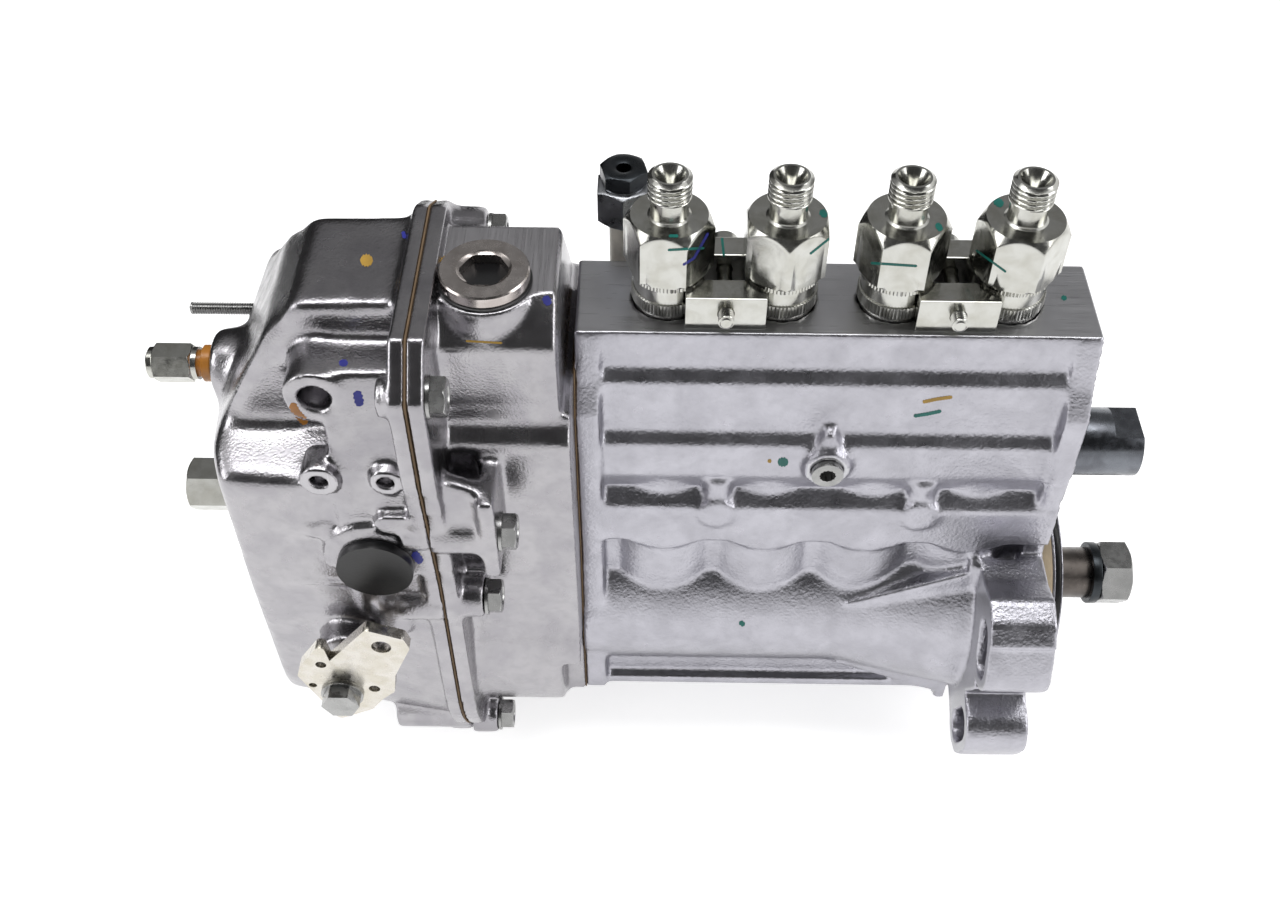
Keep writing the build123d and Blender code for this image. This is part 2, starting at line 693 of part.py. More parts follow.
for i, x in enumerate(element_x):
    with BuildPart() as holder:
        for radius, low, top in (
            (head_bore_r - slip, holder_base_z - deck_z, 1.5),
            (holder_ring_r, 1.5, 5.4),
            (holder_band_r, 5.4, 10),
            (holder_ring_r, 10, holder_hex_base),
            (holder_neck_r, holder_hex_top, holder_thread_z),
            (holder_thread_r, holder_thread_z, holder_height),
        ):
            with BuildSketch(Plane.XY.offset(deck_z + low)):
                with Locations((x, 0)):
                    Circle(radius)
            extrude(amount=top - low)
        # hexagon, with its corners turned off at the top
        with BuildSketch(Plane.XY.offset(deck_z + holder_hex_base)):
            with Locations(Pos(x, 0) * Rot(0, 0, holder_turns[i])):
                RegularPolygon(holder_hex_af / 2, 6, major_radius=False)
        extrude(amount=holder_hex_top - holder_hex_base)
        with BuildSketch(Plane.XZ):
            Polygon(
                (x + holder_hex_af / 2 - 0.4, deck_z + holder_hex_top),
                (x + holder_hex_af, deck_z + holder_hex_top),
                (x + holder_hex_af, deck_z + holder_hex_top - 6.6),
                align=None,
            )
        revolve(axis=Axis((x, 0, 0), (0, 0, 1)), mode=Mode.SUBTRACT)
        with BuildSketch(Plane.XZ):
            Polygon(
                (x + holder_thread_r - 1, deck_z + holder_height),
                (x + holder_thread_r, deck_z + holder_height),
                (x + holder_thread_r, deck_z + holder_height - 1),
                align=None,
            )
        revolve(axis=Axis((x, 0, 0), (0, 0, 1)), mode=Mode.SUBTRACT)
        # stepped fuel passage with the cone for the injection pipe
        for radius, low, top in (
            (7.2, holder_base_z - deck_z, 6),
            (5.0, 6, spring_room_z - deck_z),
            (1.3, spring_room_z - deck_z, holder_height),
        ):
            with BuildSketch(Plane.XY.offset(deck_z + low)):
                with Locations((x, 0)):
                    Circle(radius)
            extrude(amount=top - low, mode=Mode.SUBTRACT)
        with BuildSketch(Plane.XZ):
            Polygon(
                (x, deck_z + holder_height),
                (x + 4.2, deck_z + holder_height),
                (x + 1.2, deck_z + holder_height - 5.2),
                (x, deck_z + holder_height - 5.2),
                align=None,
            )
        revolve(axis=Axis((x, 0, 0), (0, 0, 1)), mode=Mode.SUBTRACT)
    write(holder, f"delivery_valve_holder_{i + 1}")

# clamps that keep the holders from turning: a block on each side and one screw through both
with BuildPart() as clamp_blocks:
    for x in clamp_x:
        for side in (-1, 1):
            with Locations((x, side * clamp_face_y, deck_z)):
                Box(
                    clamp_width, clamp_depth, clamp_height,
                    align=(Align.CENTER, Align.MIN if side < 0 else Align.MAX, Align.MIN),
                )
    with BuildSketch(Plane.XY.offset(deck_z)):
        with Locations(*[(x, 0) for x in element_x]):
            Circle(holder_ring_r + slip)
    extrude(amount=clamp_height, mode=Mode.SUBTRACT)
    for x in clamp_x:
        with Locations(Pos(x, 0, deck_z + clamp_height / 2) * Rot(90, 0, 0)):
            Cylinder(clamp_screw_r, 60, mode=Mode.SUBTRACT)
write(clamp_blocks, "clamp_blocks")

with BuildPart() as clamp_screws:
    for x in clamp_x:
        with BuildSketch(Plane.XZ.offset(clamp_face_y + 4)):
            with Locations((x, deck_z + clamp_height / 2)):
                Circle(clamp_screw_r)
        extrude(amount=-(2 * clamp_face_y + 4))
        with BuildSketch(Plane.XZ.offset(-clamp_face_y)):
            with Locations((x, deck_z + clamp_height / 2)):
                Circle(4.5)
        extrude(amount=-4.4)
        with BuildSketch(Plane.XZ.offset(-clamp_face_y - 4.4)):
            with Locations((x, deck_z + clamp_height / 2)):
                RegularPolygon(2.5, 6, major_radius=False)
        extrude(amount=2.6, mode=Mode.SUBTRACT)
write(clamp_screws, "clamp_screws")

# ================================================================ camshaft and its bearings
pilot_hub_x = -bearing_width - gap
with BuildPart() as camshaft:
    for radius, start, end in (
        (spindle_r, weight_pin_x - 1, tail_x),
        (camshaft_r, tail_x, -1),
        (11.0, tail_x + bearing_width + 0.2, pilot_hub_x - 0.2),
        (seal_journal_r, -1, pilot_length),
        (shaft_end_r, pilot_length, shaft_end_x),
        (shaft_thread_r, shaft_end_x, shaft_end_x + washer_thickness + shaft_nut_height - 1),
    ):
        with BuildSketch(Plane.YZ.offset(start)):
            Circle(radius)
        extrude(amount=end - start)
    for x, angle in zip(element_x, firing_angles):
        with BuildSketch(Plane.YZ.offset(x - cam_width / 2)):
            Circle(cam_base_r)
            with Locations(Rot(0, 0, angle + 90) * Pos(nose_z - cam_nose_r, 0)):
                Circle(cam_nose_r)
            make_hull()
        extrude(amount=cam_width)
    # drive key, on the side away from the elements
    with Locations((15, 0, -shaft_end_r - 1.9)):
        Box(8, 4, 8, align=(Align.CENTER, Align.CENTER, Align.MIN))
write(camshaft, "camshaft")

# taper roller bearings, one in the tail wall and one in the pilot plate
with BuildPart() as bearing_cups:
    for start, side in ((tail_x, 1), (0, -1)):
        with BuildSketch(Plane.XZ):
            Polygon(
                (start, bearing_r),
                (start + side * bearing_width, bearing_r),
                (start + side * bearing_width, 17.6),
                (start, 16.5),
                align=None,
            )
        revolve(axis=Axis.X)
write(bearing_cups, "bearing_cups")

with BuildPart() as bearing_cones:
    for start, side in ((tail_x, 1), (0, -1)):
        with BuildSketch(Plane.XZ):
            Polygon(
                (start, camshaft_r + slip),
                (start + side * bearing_width, camshaft_r + slip),
                (start + side * bearing_width, 17.5),
                (start + side * (bearing_width - 2), 17.3),
                (start + side * (bearing_width - 2), 13.4),
                (start + side * 2, 12.4),
                (start + side * 2, 16.6),
                (start, 16.4),
                align=None,
            )
        revolve(axis=Axis.X)
        with BuildSketch(Plane.YZ.offset(start + side * 2)):
            with PolarLocations(14.6, 14):
                Circle(1.75)
        extrude(amount=side * (bearing_width - 4))
write(bearing_cones, "bearing_cones")

# pilot plate that centres the pump and closes the camshaft chamber
with BuildPart() as pilot_plate:
    with BuildSketch(Plane.YZ):
        Circle(pilot_r)
    extrude(amount=pilot_length)
    with BuildSketch(Plane.YZ.offset(-pilot_seat)):
        Circle(pilot_seat_r - slip)
    extrude(amount=pilot_seat)
    with BuildSketch(Plane.YZ):
        Circle(chamber_r - slip)
    extrude(amount=pilot_hub_x)
    with BuildSketch(Plane.YZ.offset(pilot_hub_x)):
        Circle(bearing_r + slip)
    extrude(amount=-pilot_hub_x, mode=Mode.SUBTRACT)
    with BuildSketch(Plane.YZ):
        Circle(camshaft_r + 2)
    extrude(amount=pilot_length, mode=Mode.SUBTRACT)
    # seat of the shaft seal and grooves of the pilot ring and the O-ring
    with BuildSketch(Plane.YZ.offset(2)):
        Circle(15)
    extrude(amount=pilot_length - 2, mode=Mode.SUBTRACT)
    for start, width, depth in ((2.2, 3.5, 1.0), (6.6, 1.8, 1.4)):
        with BuildSketch(Plane.YZ.offset(start)):
            Circle(pilot_r)
            Circle(pilot_r - depth, mode=Mode.SUBTRACT)
        extrude(amount=width, mode=Mode.SUBTRACT)
write(pilot_plate, "pilot_plate")
write(ring(Plane.YZ.offset(2.25), pilot_r - 0.1, pilot_r - 1, 3.4), "pilot_ring")
write(ring(Plane.YZ.offset(6.65), pilot_r, pilot_r - 1.4, 1.7), "pilot_o_ring")
write(ring(Plane.YZ.offset(2.2), 15 - slip, seal_journal_r + slip, 5.8), "shaft_seal")

washer_x = shaft_end_x
with BuildPart() as spring_washer:
    with BuildSketch(Plane.YZ.offset(washer_x)):
        Circle(10.7)
        Circle(shaft_thread_r + 0.3, mode=Mode.SUBTRACT)
        with Locations((0, -9)):
            Rectangle(1.5, 8, mode=Mode.SUBTRACT)
    extrude(amount=washer_thickness)
write(spring_washer, "spring_washer")

nut_x = washer_x + washer_thickness
with BuildPart() as shaft_nut:
    with BuildSketch(Plane.YZ.offset(nut_x)):
        RegularPolygon(shaft_nut_af / 2, 6, major_radius=False)
    extrude(amount=shaft_nut_height)
    with BuildSketch(Plane.XZ):
        Polygon(
            (nut_x + shaft_nut_height, shaft_nut_af / 2 - 0.3),
            (nut_x + shaft_nut_height, shaft_nut_af),
            (nut_x + shaft_nut_height - 6, shaft_nut_af),
            align=None,
        )
    revolve(axis=Axis.X, mode=Mode.SUBTRACT)
    with BuildSketch(Plane.YZ.offset(nut_x)):
        Circle(shaft_thread_r)
    extrude(amount=shaft_nut_height - 1, mode=Mode.SUBTRACT)
write(shaft_nut, "shaft_nut")

# ================================================================ small parts on the pump housing
with BuildPart() as rack_end_cap:
    with BuildSketch(Plane.YZ.offset(-face_relief)):
        with Locations((rack_y, rack_z)):
            Circle(10.3)
    extrude(amount=19.5 + face_relief)
    with BuildSketch(Plane.YZ):
        with Locations((rack_y, rack_z)):
            Circle(8 - slip)
    extrude(amount=-8)
    # two flats for the key, and the room the rack slides into
    for side in (1, -1):
        with Locations((11, rack_y, rack_z + side * 8.2)):
            Box(
                9, 21, 4,
                align=(Align.MIN, Align.CENTER, Align.MIN if side > 0 else Align.MAX),
                mode=Mode.SUBTRACT,
            )
    with BuildSketch(Plane.YZ.offset(-8)):
        with Locations((rack_y, rack_z)):
            Circle(rack_r + 4 * slip)
    extrude(amount=24, mode=Mode.SUBTRACT)
write(rack_end_cap, "rack_end_cap")

with BuildPart() as rack_guide_screw:
    with BuildSketch(Plane.XZ.offset(guide_boss_y)):
        with Locations((mid_x, rack_z)):
            Circle(4.7)
    extrude(amount=2)
    with BuildSketch(Plane.XZ.offset(guide_boss_y)):
        with Locations((mid_x, rack_z)):
            Circle(guide_hole_r)
    extrude(amount=-(guide_boss_y - 18.4))
    with BuildSketch(Plane.XZ.offset(18.4)):
        with Locations((mid_x, rack_z)):
            Circle(1.5)
    extrude(amount=-2.1)
    with BuildSketch(Plane.XZ.offset(guide_boss_y + 2)):
        with Locations((mid_x, rack_z)):
            RegularPolygon(2.5, 6)
            RegularPolygon(2.5, 6, rotation=30)
    extrude(amount=-3, mode=Mode.SUBTRACT)
write(rack_guide_screw, "rack_guide_screw")

# fuel inlet fitting: a stem from the gallery boss, turned upwards to a union with two hexagons
inlet_y = inlet_face_y + 5
with BuildPart() as fuel_inlet_fitting:
    with BuildSketch(Plane.XZ.offset(-inlet_face_y)):
        with Locations((inlet_x, gallery_z)):
            Circle(5.8)
    extrude(amount=-10)
    with BuildSketch(Plane.XZ.offset(-inlet_face_y)):
        with Locations((inlet_x, gallery_z)):
            Circle(5 - slip)
    extrude(amount=5)
    with BuildSketch(Plane.XY.offset(gallery_z)):
        with Locations((inlet_x, inlet_y)):
            Circle(4.4)
    extrude(amount=deck_z + 9 - gallery_z)
    with BuildSketch(Plane.XY.offset(deck_z + 9)):
        with Locations((inlet_x, inlet_y)):
            RegularPolygon(7.5, 6, major_radius=False)
    extrude(amount=12)
    with BuildSketch(Plane.XY.offset(deck_z + 21)):
        with Locations((inlet_x, inlet_y)):
            RegularPolygon(6, 6, major_radius=False, rotation=15)
    extrude(amount=5)
    with BuildSketch(Plane.XY.offset(deck_z + 26)):
        with Locations((inlet_x, inlet_y)):
            Circle(2.2)
    extrude(amount=gallery_z - deck_z - 26, mode=Mode.SUBTRACT)
    with BuildSketch(Plane.XZ.offset(-inlet_face_y + 5)):
        with Locations((inlet_x, gallery_z)):
            Circle(2.2)
    extrude(amount=-10, mode=Mode.SUBTRACT)
write(fuel_inlet_fitting, "fuel_inlet_fitting")

with BuildPart() as inspection_cover:
    with BuildSketch(Plane.XZ.offset(-window_face_y)):
        with Locations((mid_x, window_z)):
            RectangleRounded(window_length + 12, window_height + 12, 5)
    extrude(amount=-3)
    with BuildSketch(Plane.XZ.offset(-window_face_y - 3)):
        with Locations((mid_x, window_z)):
            RectangleRounded(window_length - 4, window_height - 6, 4)
    extrude(amount=-2)
write(inspection_cover, "inspection_cover")

with BuildPart() as feed_pump_cover:
    with BuildSketch(Plane.XZ.offset(-feed_face_y)):
        with Locations((mid_x, 0)):
            RectangleRounded(56, 44, 14)
    extrude(amount=-5)
    with BuildSketch(Plane.XZ.offset(-feed_face_y)):
        with Locations((mid_x, 0)):
            Circle(14 - slip)
    extrude(amount=4)
    with BuildSketch(Plane.XZ.offset(-feed_face_y - 5)):
        with Locations((mid_x, 0)):
            Circle(12)
    extrude(amount=-2)
write(feed_pump_cover, "feed_pump_cover")

cover_screw_x = (mid_x - 21, mid_x + 21)
window_screw_x = (mid_x - window_length / 2 - 3.5, mid_x + window_length / 2 + 3.5)
with BuildPart() as rear_cover_screws:
    with BuildSketch(Plane.XZ.offset(-feed_face_y - 5)):
        with Locations(*[(x, 0) for x in cover_screw_x]):
            RegularPolygon(5, 6, major_radius=False)
    extrude(amount=-4.5)
    with BuildSketch(Plane.XZ.offset(-window_face_y - 3)):
        with Locations(*[(x, window_z) for x in window_screw_x]):
            RegularPolygon(4, 6, major_radius=False)
    extrude(amount=-3.5)
write(rear_cover_screws, "rear_cover_screws")


# ================================================================ governor housing
def block_outline(x, inset):
    """Section of the governor housing between its joints, drawn in by inset."""
    with BuildSketch(Plane.YZ.offset(x)) as outline:
        Polygon(
            (-42, 0),
            (-42, 107),
            (-37, 112),
            (-37, governor_top - 10),
            (-29, governor_top - 2),
            (-26, governor_top),
            (2, governor_top),
            (26, 120),
            (42, 84),
            (42, 0),
            align=None,
        )
        Circle(belly_r)
        if inset:
            offset(amount=-inset, kind=Kind.INTERSECTION)
    return outline.sketch


def joint_outline(x, inset):
    """Outline of the cover joint, drawn in by inset."""
    with BuildSketch(Plane.YZ.offset(x)) as outline:
        Polygon(
            (-joint_r, 0),
            (-joint_r, 60),
            (-joint_front, 112),
            (-joint_front, joint_top - 12),
            (-joint_front + 12, joint_top),
            (6, joint_top),
            (16, joint_top - 6),
            (joint_r, 60),
            (joint_r, 0),
            align=None,
        )
        Circle(joint_r)
        if inset:
            offset(amount=-inset, kind=Kind.INTERSECTION)
    return outline.sketch


with BuildPart() as governor_housing:
    extrude(block_outline(governor_x, 0), amount=-governor_depth)
    extrude(joint_outline(cover_joint_x, 0), amount=rim)
    # raised pad round the oil plug
    with BuildSketch(Plane.XY.offset(governor_top - 14)):
        with Locations((plug_x, plug_y)):
            Circle(plug_pad_r)
    extrude(amount=14.5)
    # clearance above the end gasket
    with Locations((governor_x, 0, end_gasket_z)):
        Box(5, 200, 60, align=(Align.CENTER, Align.CENTER, Align.MIN), mode=Mode.SUBTRACT)
    # groove along the front, under the plain panel
    with Locations((governor_x - governor_depth / 2, -37, 119)):
        Box(governor_depth - 2 * rim, 1.6, 1.4, mode=Mode.SUBTRACT)
    # screw bosses of the rim
    for y, z, seat in rim_screws:
        with BuildSketch(Plane.YZ.offset(cover_joint_x)):
            with Locations((y, z)):
                Circle(6.5)
        extrude(amount=seat)
    # lug plate at the middle screw, and the flat ledge between it and the rim
    with Locations((cover_joint_x + 14, -50, 87)):
        Box(5, 20, 32, align=(Align.MIN, Align.CENTER, Align.CENTER))
    with BuildSketch(Plane.XZ.offset(50)):
        Polygon(
            (cover_joint_x, 110),
            (cover_joint_x + 14, 104),
            (cover_joint_x + 14, 78),
            (cover_joint_x, 80),
            align=None,
        )
    extrude(amount=6)
    # the belly stops short of the pump, whose end face it meets with a narrower foot
    with BuildSketch(Plane.YZ.offset(governor_x)):
        with Locations((0, 5)):
            Rectangle(140, 140, align=(Align.CENTER, Align.MAX))
        with Locations((0, rail_z)):
            Rectangle(60, 60, align=(Align.CENTER, Align.MIN), mode=Mode.SUBTRACT)
    extrude(amount=-6, mode=Mode.SUBTRACT)
    # flange lug at the top rear
    with BuildSketch(Plane.YZ.offset(cover_joint_x)):
        with Locations((9, joint_top - 14)):
            Circle(9)
    extrude(amount=15)
    # room for the flyweights and, above it, for the rack and the levers
    with BuildSketch(Plane.YZ.offset(cover_joint_x)):
        Circle(weight_room_r)
    extrude(amount=governor_depth - end_wall, mode=Mode.SUBTRACT)
    extrude(block_outline(cover_joint_x, room_wall), amount=governor_depth - end_wall, mode=Mode.SUBTRACT)
    with BuildSketch(Plane.YZ.offset(cover_joint_x)):
        Circle(end_opening_r + 3)
    extrude(amount=governor_depth - room_wall, mode=Mode.SUBTRACT)
    # shaft opening and rack hole in the end wall
    with BuildSketch(Plane.YZ.offset(governor_x)):
        Circle(end_opening_r)
        with Locations((rack_y, rack_z)):
            Circle(7)
    extrude(amount=-end_wall, mode=Mode.SUBTRACT)
    # spot faces round the screw heads
    for y, z, seat in rim_screws:
        with BuildSketch(Plane.YZ.offset(cover_joint_x + seat)):
            with Locations((y, z)):
                Circle(6.2)
        extrude(amount=6, mode=Mode.SUBTRACT)
    # threaded hole of the oil plug, and the holes of the rim screws
    with BuildSketch(Plane.XY.offset(governor_top + 1)):
        with Locations((plug_x, plug_y)):
            Circle(9)
    extrude(amount=-12, mode=Mode.SUBTRACT)
    with BuildSketch(Plane.YZ.offset(cover_joint_x)):
        with Locations(*[(y, z) for y, z, seat in rim_screws]):
            Circle(3)
    extrude(amount=26, mode=Mode.SUBTRACT)
write(governor_housing, "governor_housing")

with BuildPart() as pump_end_gasket:
    with BuildSketch(Plane.YZ.offset(governor_x)):
        with BuildLine():
            Polyline(
                (0, end_gasket_z),
                (-18.5, end_gasket_z),
                (-24.3, deck_z - 25),
                (-25.0, deck_z - 47),
                (-25.0, 34),
                (-29.0, 6),
                (-29.0, rail_z),
                (0, rail_z),
                (0, end_gasket_z),
            )
        make_face()
        mirror(about=Plane.YZ)
        Circle(end_opening_r, mode=Mode.SUBTRACT)
        with Locations((rack_y, rack_z)):
            Circle(7, mode=Mode.SUBTRACT)
    extrude(amount=gasket_thickness)
write(pump_end_gasket, "pump_end_gasket")

with BuildPart() as cover_gasket:
    extrude(joint_outline(cover_x, 0), amount=gasket_thickness)
    extrude(block_outline(cover_x, room_wall), amount=gasket_thickness, mode=Mode.SUBTRACT)
    with BuildSketch(Plane.YZ.offset(cover_x)):
        with Locations(*[(y, z) for y, z, seat in rim_screws]):
            Circle(3)
    extrude(amount=gasket_thickness, mode=Mode.SUBTRACT)
write(cover_gasket, "cover_gasket")

# screws of the cover joint, their heads on the pump side
with BuildPart() as rim_bolts:
    for y, z, seat in rim_screws:
        with BuildSketch(Plane.YZ.offset(cover_joint_x + seat)):
            with Locations((y, z)):
                RegularPolygon(5, 6, major_radius=False)
        extrude(amount=5)
        with BuildSketch(Plane.YZ.offset(cover_joint_x + seat)):
            with Locations((y, z)):
                Circle(3)
        extrude(amount=-seat - 8)
write(rim_bolts, "rim_bolts")


# ================================================================ governor cover
def cover_body(inset):
    """Solid of the cover behind its rim, or its inner room, drawn in by inset."""
    depth = cover_depth - inset
    with BuildPart() as body:
        # section across the shaft, rounder and smaller towards the closed end
        for x, half, radius in ((cover_x, 53, 52), (cover_x - depth, 49, cover_end_r)):
            with BuildSketch(Plane.YZ.offset(x)):
                with BuildLine():
                    Polyline(
                        (-radius + inset, 0),
                        (-half + inset, 45),
                        (-half + inset, 160),
                        (half - inset, 160),
                        (half - inset, 45),
                        (radius - inset, 0),
                    )
                    CenterArc((0, 0), radius - inset, 180, 180)
                make_face()
        loft(ruled=True)
        # side view
        with BuildSketch(Plane.XZ.offset(70)):
            Polygon(
                (cover_x + 1, governor_top - inset),
                (cover_end_x + cover_nose, governor_top - 1 - inset),
                (cover_end_x + 26.7 + inset, governor_top - 14 - inset / 2),
                (cover_end_x + 11.7 + inset, 108),
                (cover_end_x + 0.7 + inset, 86),
                (cover_end_x + 0.7 + inset, 66),
                (cover_end_x + 7.7 + inset, 41),
                (cover_end_x + 7.7 + inset, -60),
                (cover_x + 1, -60),
                align=None,
            )
        extrude(amount=-140, mode=Mode.INTERSECT)
        # plan view, blunt at the closed end
        with BuildSketch(Plane.XY.offset(-70)):
            Polygon(
                (cover_x + 1, -70),
                (cover_end_x + 12.7 + inset, -70),
                (cover_end_x + 12.7 + inset, -52),
                (cover_end_x + 5.7 + inset, -32),
                (cover_end_x - 0.3 + inset, -12),
                (cover_end_x - 0.3 + inset, 12),
                (cover_end_x + 5.7 + inset, 32),
                (cover_end_x + 12.7 + inset, 52),
                (cover_end_x + 12.7 + inset, 70),
                (cover_x + 1, 70),
                align=None,
            )
        extrude(amount=240, mode=Mode.INTERSECT)
        # stepped front and slanting back of the upper part
        with BuildSketch(Plane.YZ.offset(cover_x + 1)):
            Polygon(
                (-60, -60),
                (-60, 98),
                (-31 + inset, 105 - inset),
                (-30 + inset, 170),
                (6, 170),
                (6, governor_top - inset),
                (34 - inset, 112),
                (60, 96),
                (60, -60),
                align=None,
            )
        extrude(amount=-cover_depth - 2, mode=Mode.INTERSECT)
    return body.part


with BuildPart() as governor_cover:
    add(cover_body(0))
    # column beside the rim, with the holed boss on its upper corner
    with BuildSketch(Plane.YZ.offset(cover_x)):
        Polygon((-53, 40), (-53, 96), (-44, ear_z + 8), (-20, ear_z + 8), (-20, 40), align=None)
    extrude(amount=-25.5)
    with BuildSketch(Plane.XZ.offset(46)):
        with Locations((ear_x, ear_z)):
            Circle(9)
    extrude(amount=-20)
    extrude(joint_outline(cover_x, 0), amount=-rim)
    with BuildSketch(Plane.YZ.offset(cover_x)):
        with Locations((9, joint_top - 14)):
            Circle(9)
    extrude(amount=-rim)
    # screw bosses that run back from the rim: one bends down like an elbow, one stands at the bottom
    with BuildSketch(Plane.YZ.offset(cover_x)):
        with Locations((-49, 48)):
            Circle(7.5)
    extrude(amount=-13)
    with BuildSketch(Plane.XY.offset(48)):
        with Locations((cover_x - 16, -49)):
            Circle(7)
    extrude(amount=-10)
    with Locations((cover_x - 16, -49, 48), (cover_x - 16, -49, 38)):
        Sphere(7)
    with BuildSketch(Plane.YZ.offset(cover_x)):
        with Locations((-38, -30)):
            Circle(8.5)
    extrude(amount=-25)
    # raised strip beside the middle screw
    with BuildSketch(Plane.XZ.offset(40)):
        with Locations((cover_x, 90)):
            SlotOverall(30, 7.4)
            Rectangle(40, 8, align=(Align.MIN, Align.CENTER), mode=Mode.SUBTRACT)
    extrude(amount=17)
    # bosses on the front: lever shaft, stop screws, rubber plug
    with BuildSketch(Plane.XZ.offset(59)):
        with Locations((lever_shaft_x, lever_shaft_z)):
            Circle(10)
    extrude(amount=-20)
    for x, radius in zip(stop_boss_x, (5.6, 4.8)):
        with BuildSketch(Plane.XZ.offset(54)):
            with Locations((x, stop_boss_z)):
                Circle(radius)
        extrude(amount=-10)
    with BuildSketch(Plane.XZ.offset(56)):
        with Locations((rubber_plug_x, rubber_plug_z)):
            Circle(12.2)
    extrude(amount=-8)
    # dome of the idle spring capsule and boss of the torque capsule on the end
    with BuildSketch(Plane.YZ.offset(cover_end_x + 22.7)):
        with Locations((0, capsule_z)):
            Circle(11)
    extrude(amount=-22.5)
    with BuildSketch(Plane.YZ.offset(cover_end_x + 12.7)):
        with Locations((0, torque_z)):
            Circle(10)
    extrude(amount=-9)
    with BuildSketch(Plane.YZ.offset(cover_end_x + 22.7)):
        with Locations((stud_y, stud_z)):
            Circle(6)
    extrude(amount=-14)
    # inner room, screw bosses, and the holes of the screws, pins and fittings
    add(cover_body(room_wall), mode=Mode.SUBTRACT)
    with BuildSketch(Plane.YZ.offset(cover_x)):
        with Locations(*[(y, z) for y, z, seat in rim_screws]):
            Circle(5.5)
    extrude(amount=-8)
    with BuildSketch(Plane.YZ.offset(cover_x)):
        with Locations(*[(y, z) for y, z, seat in rim_screws]):
            Circle(3)
    extrude(amount=-7.5, mode=Mode.SUBTRACT)
    with BuildSketch(Plane.XZ.offset(39)):
        with Locations((tension_x, tension_pin_z)):
            Circle(2.5)
    extrude(amount=-89, mode=Mode.SUBTRACT)
    with BuildSketch(Plane.XZ.offset(50)):
        with Locations((rack_end_x + 4, fulcrum_z)):
            Circle(2.5)
    extrude(amount=-10, mode=Mode.SUBTRACT)
    with BuildSketch(Plane.XZ.offset(60)):
        with Locations((lever_shaft_x, lever_shaft_z)):
            Circle(lever_shaft_r + slip)
    extrude(amount=-60, mode=Mode.SUBTRACT)
    with BuildSketch(Plane.XZ.offset(60)):
        with Locations((ear_x, ear_z)):
            Circle(4.3)
    extrude(amount=-24, mode=Mode.SUBTRACT)
    with BuildSketch(Plane.XZ.offset(60)):
        with Locations(*[(x, stop_boss_z) for x in stop_boss_x]):
            Circle(2.4)
    extrude(amount=-12, mode=Mode.SUBTRACT)
    with BuildSketch(Plane.XZ.offset(60)):
        with Locations((rubber_plug_x, rubber_plug_z)):
            Circle(9)
    extrude(amount=-20, mode=Mode.SUBTRACT)
    with BuildSketch(Plane.YZ.offset(cover_end_x - 2.3)):
        with Locations((0, capsule_z), (0, torque_z)):
            Circle(4)
        with Locations((stud_y, stud_z)):
            Circle(2)
    extrude(amount=30, mode=Mode.SUBTRACT)
write(governor_cover, "governor_cover")

with BuildPart() as oil_plug:
    with BuildSketch(Plane.XY.offset(governor_top + 1.5)):
        with Locations((plug_x, plug_y)):
            Circle(plug_r)
    extrude(amount=3.5)
    with BuildSketch(Plane.XY.offset(governor_top + 1.5)):
        with Locations((plug_x, plug_y)):
            Circle(9 - slip)
    extrude(amount=-9)
    with BuildSketch(Plane.XY.offset(governor_top + 5)):
        with Locations((plug_x, plug_y)):
            RegularPolygon(6, 6, major_radius=False)
    extrude(amount=-7, mode=Mode.SUBTRACT)
    # its sealing washer
    with BuildSketch(Plane.XY.offset(governor_top + 0.5)):
        with Locations((plug_x, plug_y)):
            Circle(plug_r + 0.5)
            Circle(9 + slip, mode=Mode.SUBTRACT)
    extrude(amount=0.98)
write(oil_plug, "oil_plug")

with BuildPart() as rubber_plug:
    with BuildSketch(Plane.XZ.offset(56)):
        with Locations((rubber_plug_x, rubber_plug_z)):
            Circle(11)
    extrude(amount=3)
    with BuildSketch(Plane.XZ.offset(56)):
        with Locations((rubber_plug_x, rubber_plug_z)):
            Circle(9 - slip)
    extrude(amount=-6)
write(rubber_plug, "rubber_plug")

# ================================================================ governor mechanism
with BuildPart() as flyweight_carrier:
    with BuildSketch(Plane.YZ.offset(weight_pin_x + 3)):
        Circle(13)
    extrude(amount=9)
    for side in (1, -1):
        with Locations((weight_pin_x + 4.5, 0, side * 9.8)):
            Box(6.8, 2 * weight_pin_y + 6, 3, align=(Align.MAX, Align.CENTER, Align.CENTER))
    with BuildSketch(Plane.YZ.offset(weight_pin_x + 3)):
        Circle(spindle_r + slip)
    extrude(amount=9, mode=Mode.SUBTRACT)
    for side in (1, -1):
        with Locations((weight_pin_x, side * weight_pin_y, 0)):
            Cylinder(2.5, 22)
write(flyweight_carrier, "flyweight_carrier")

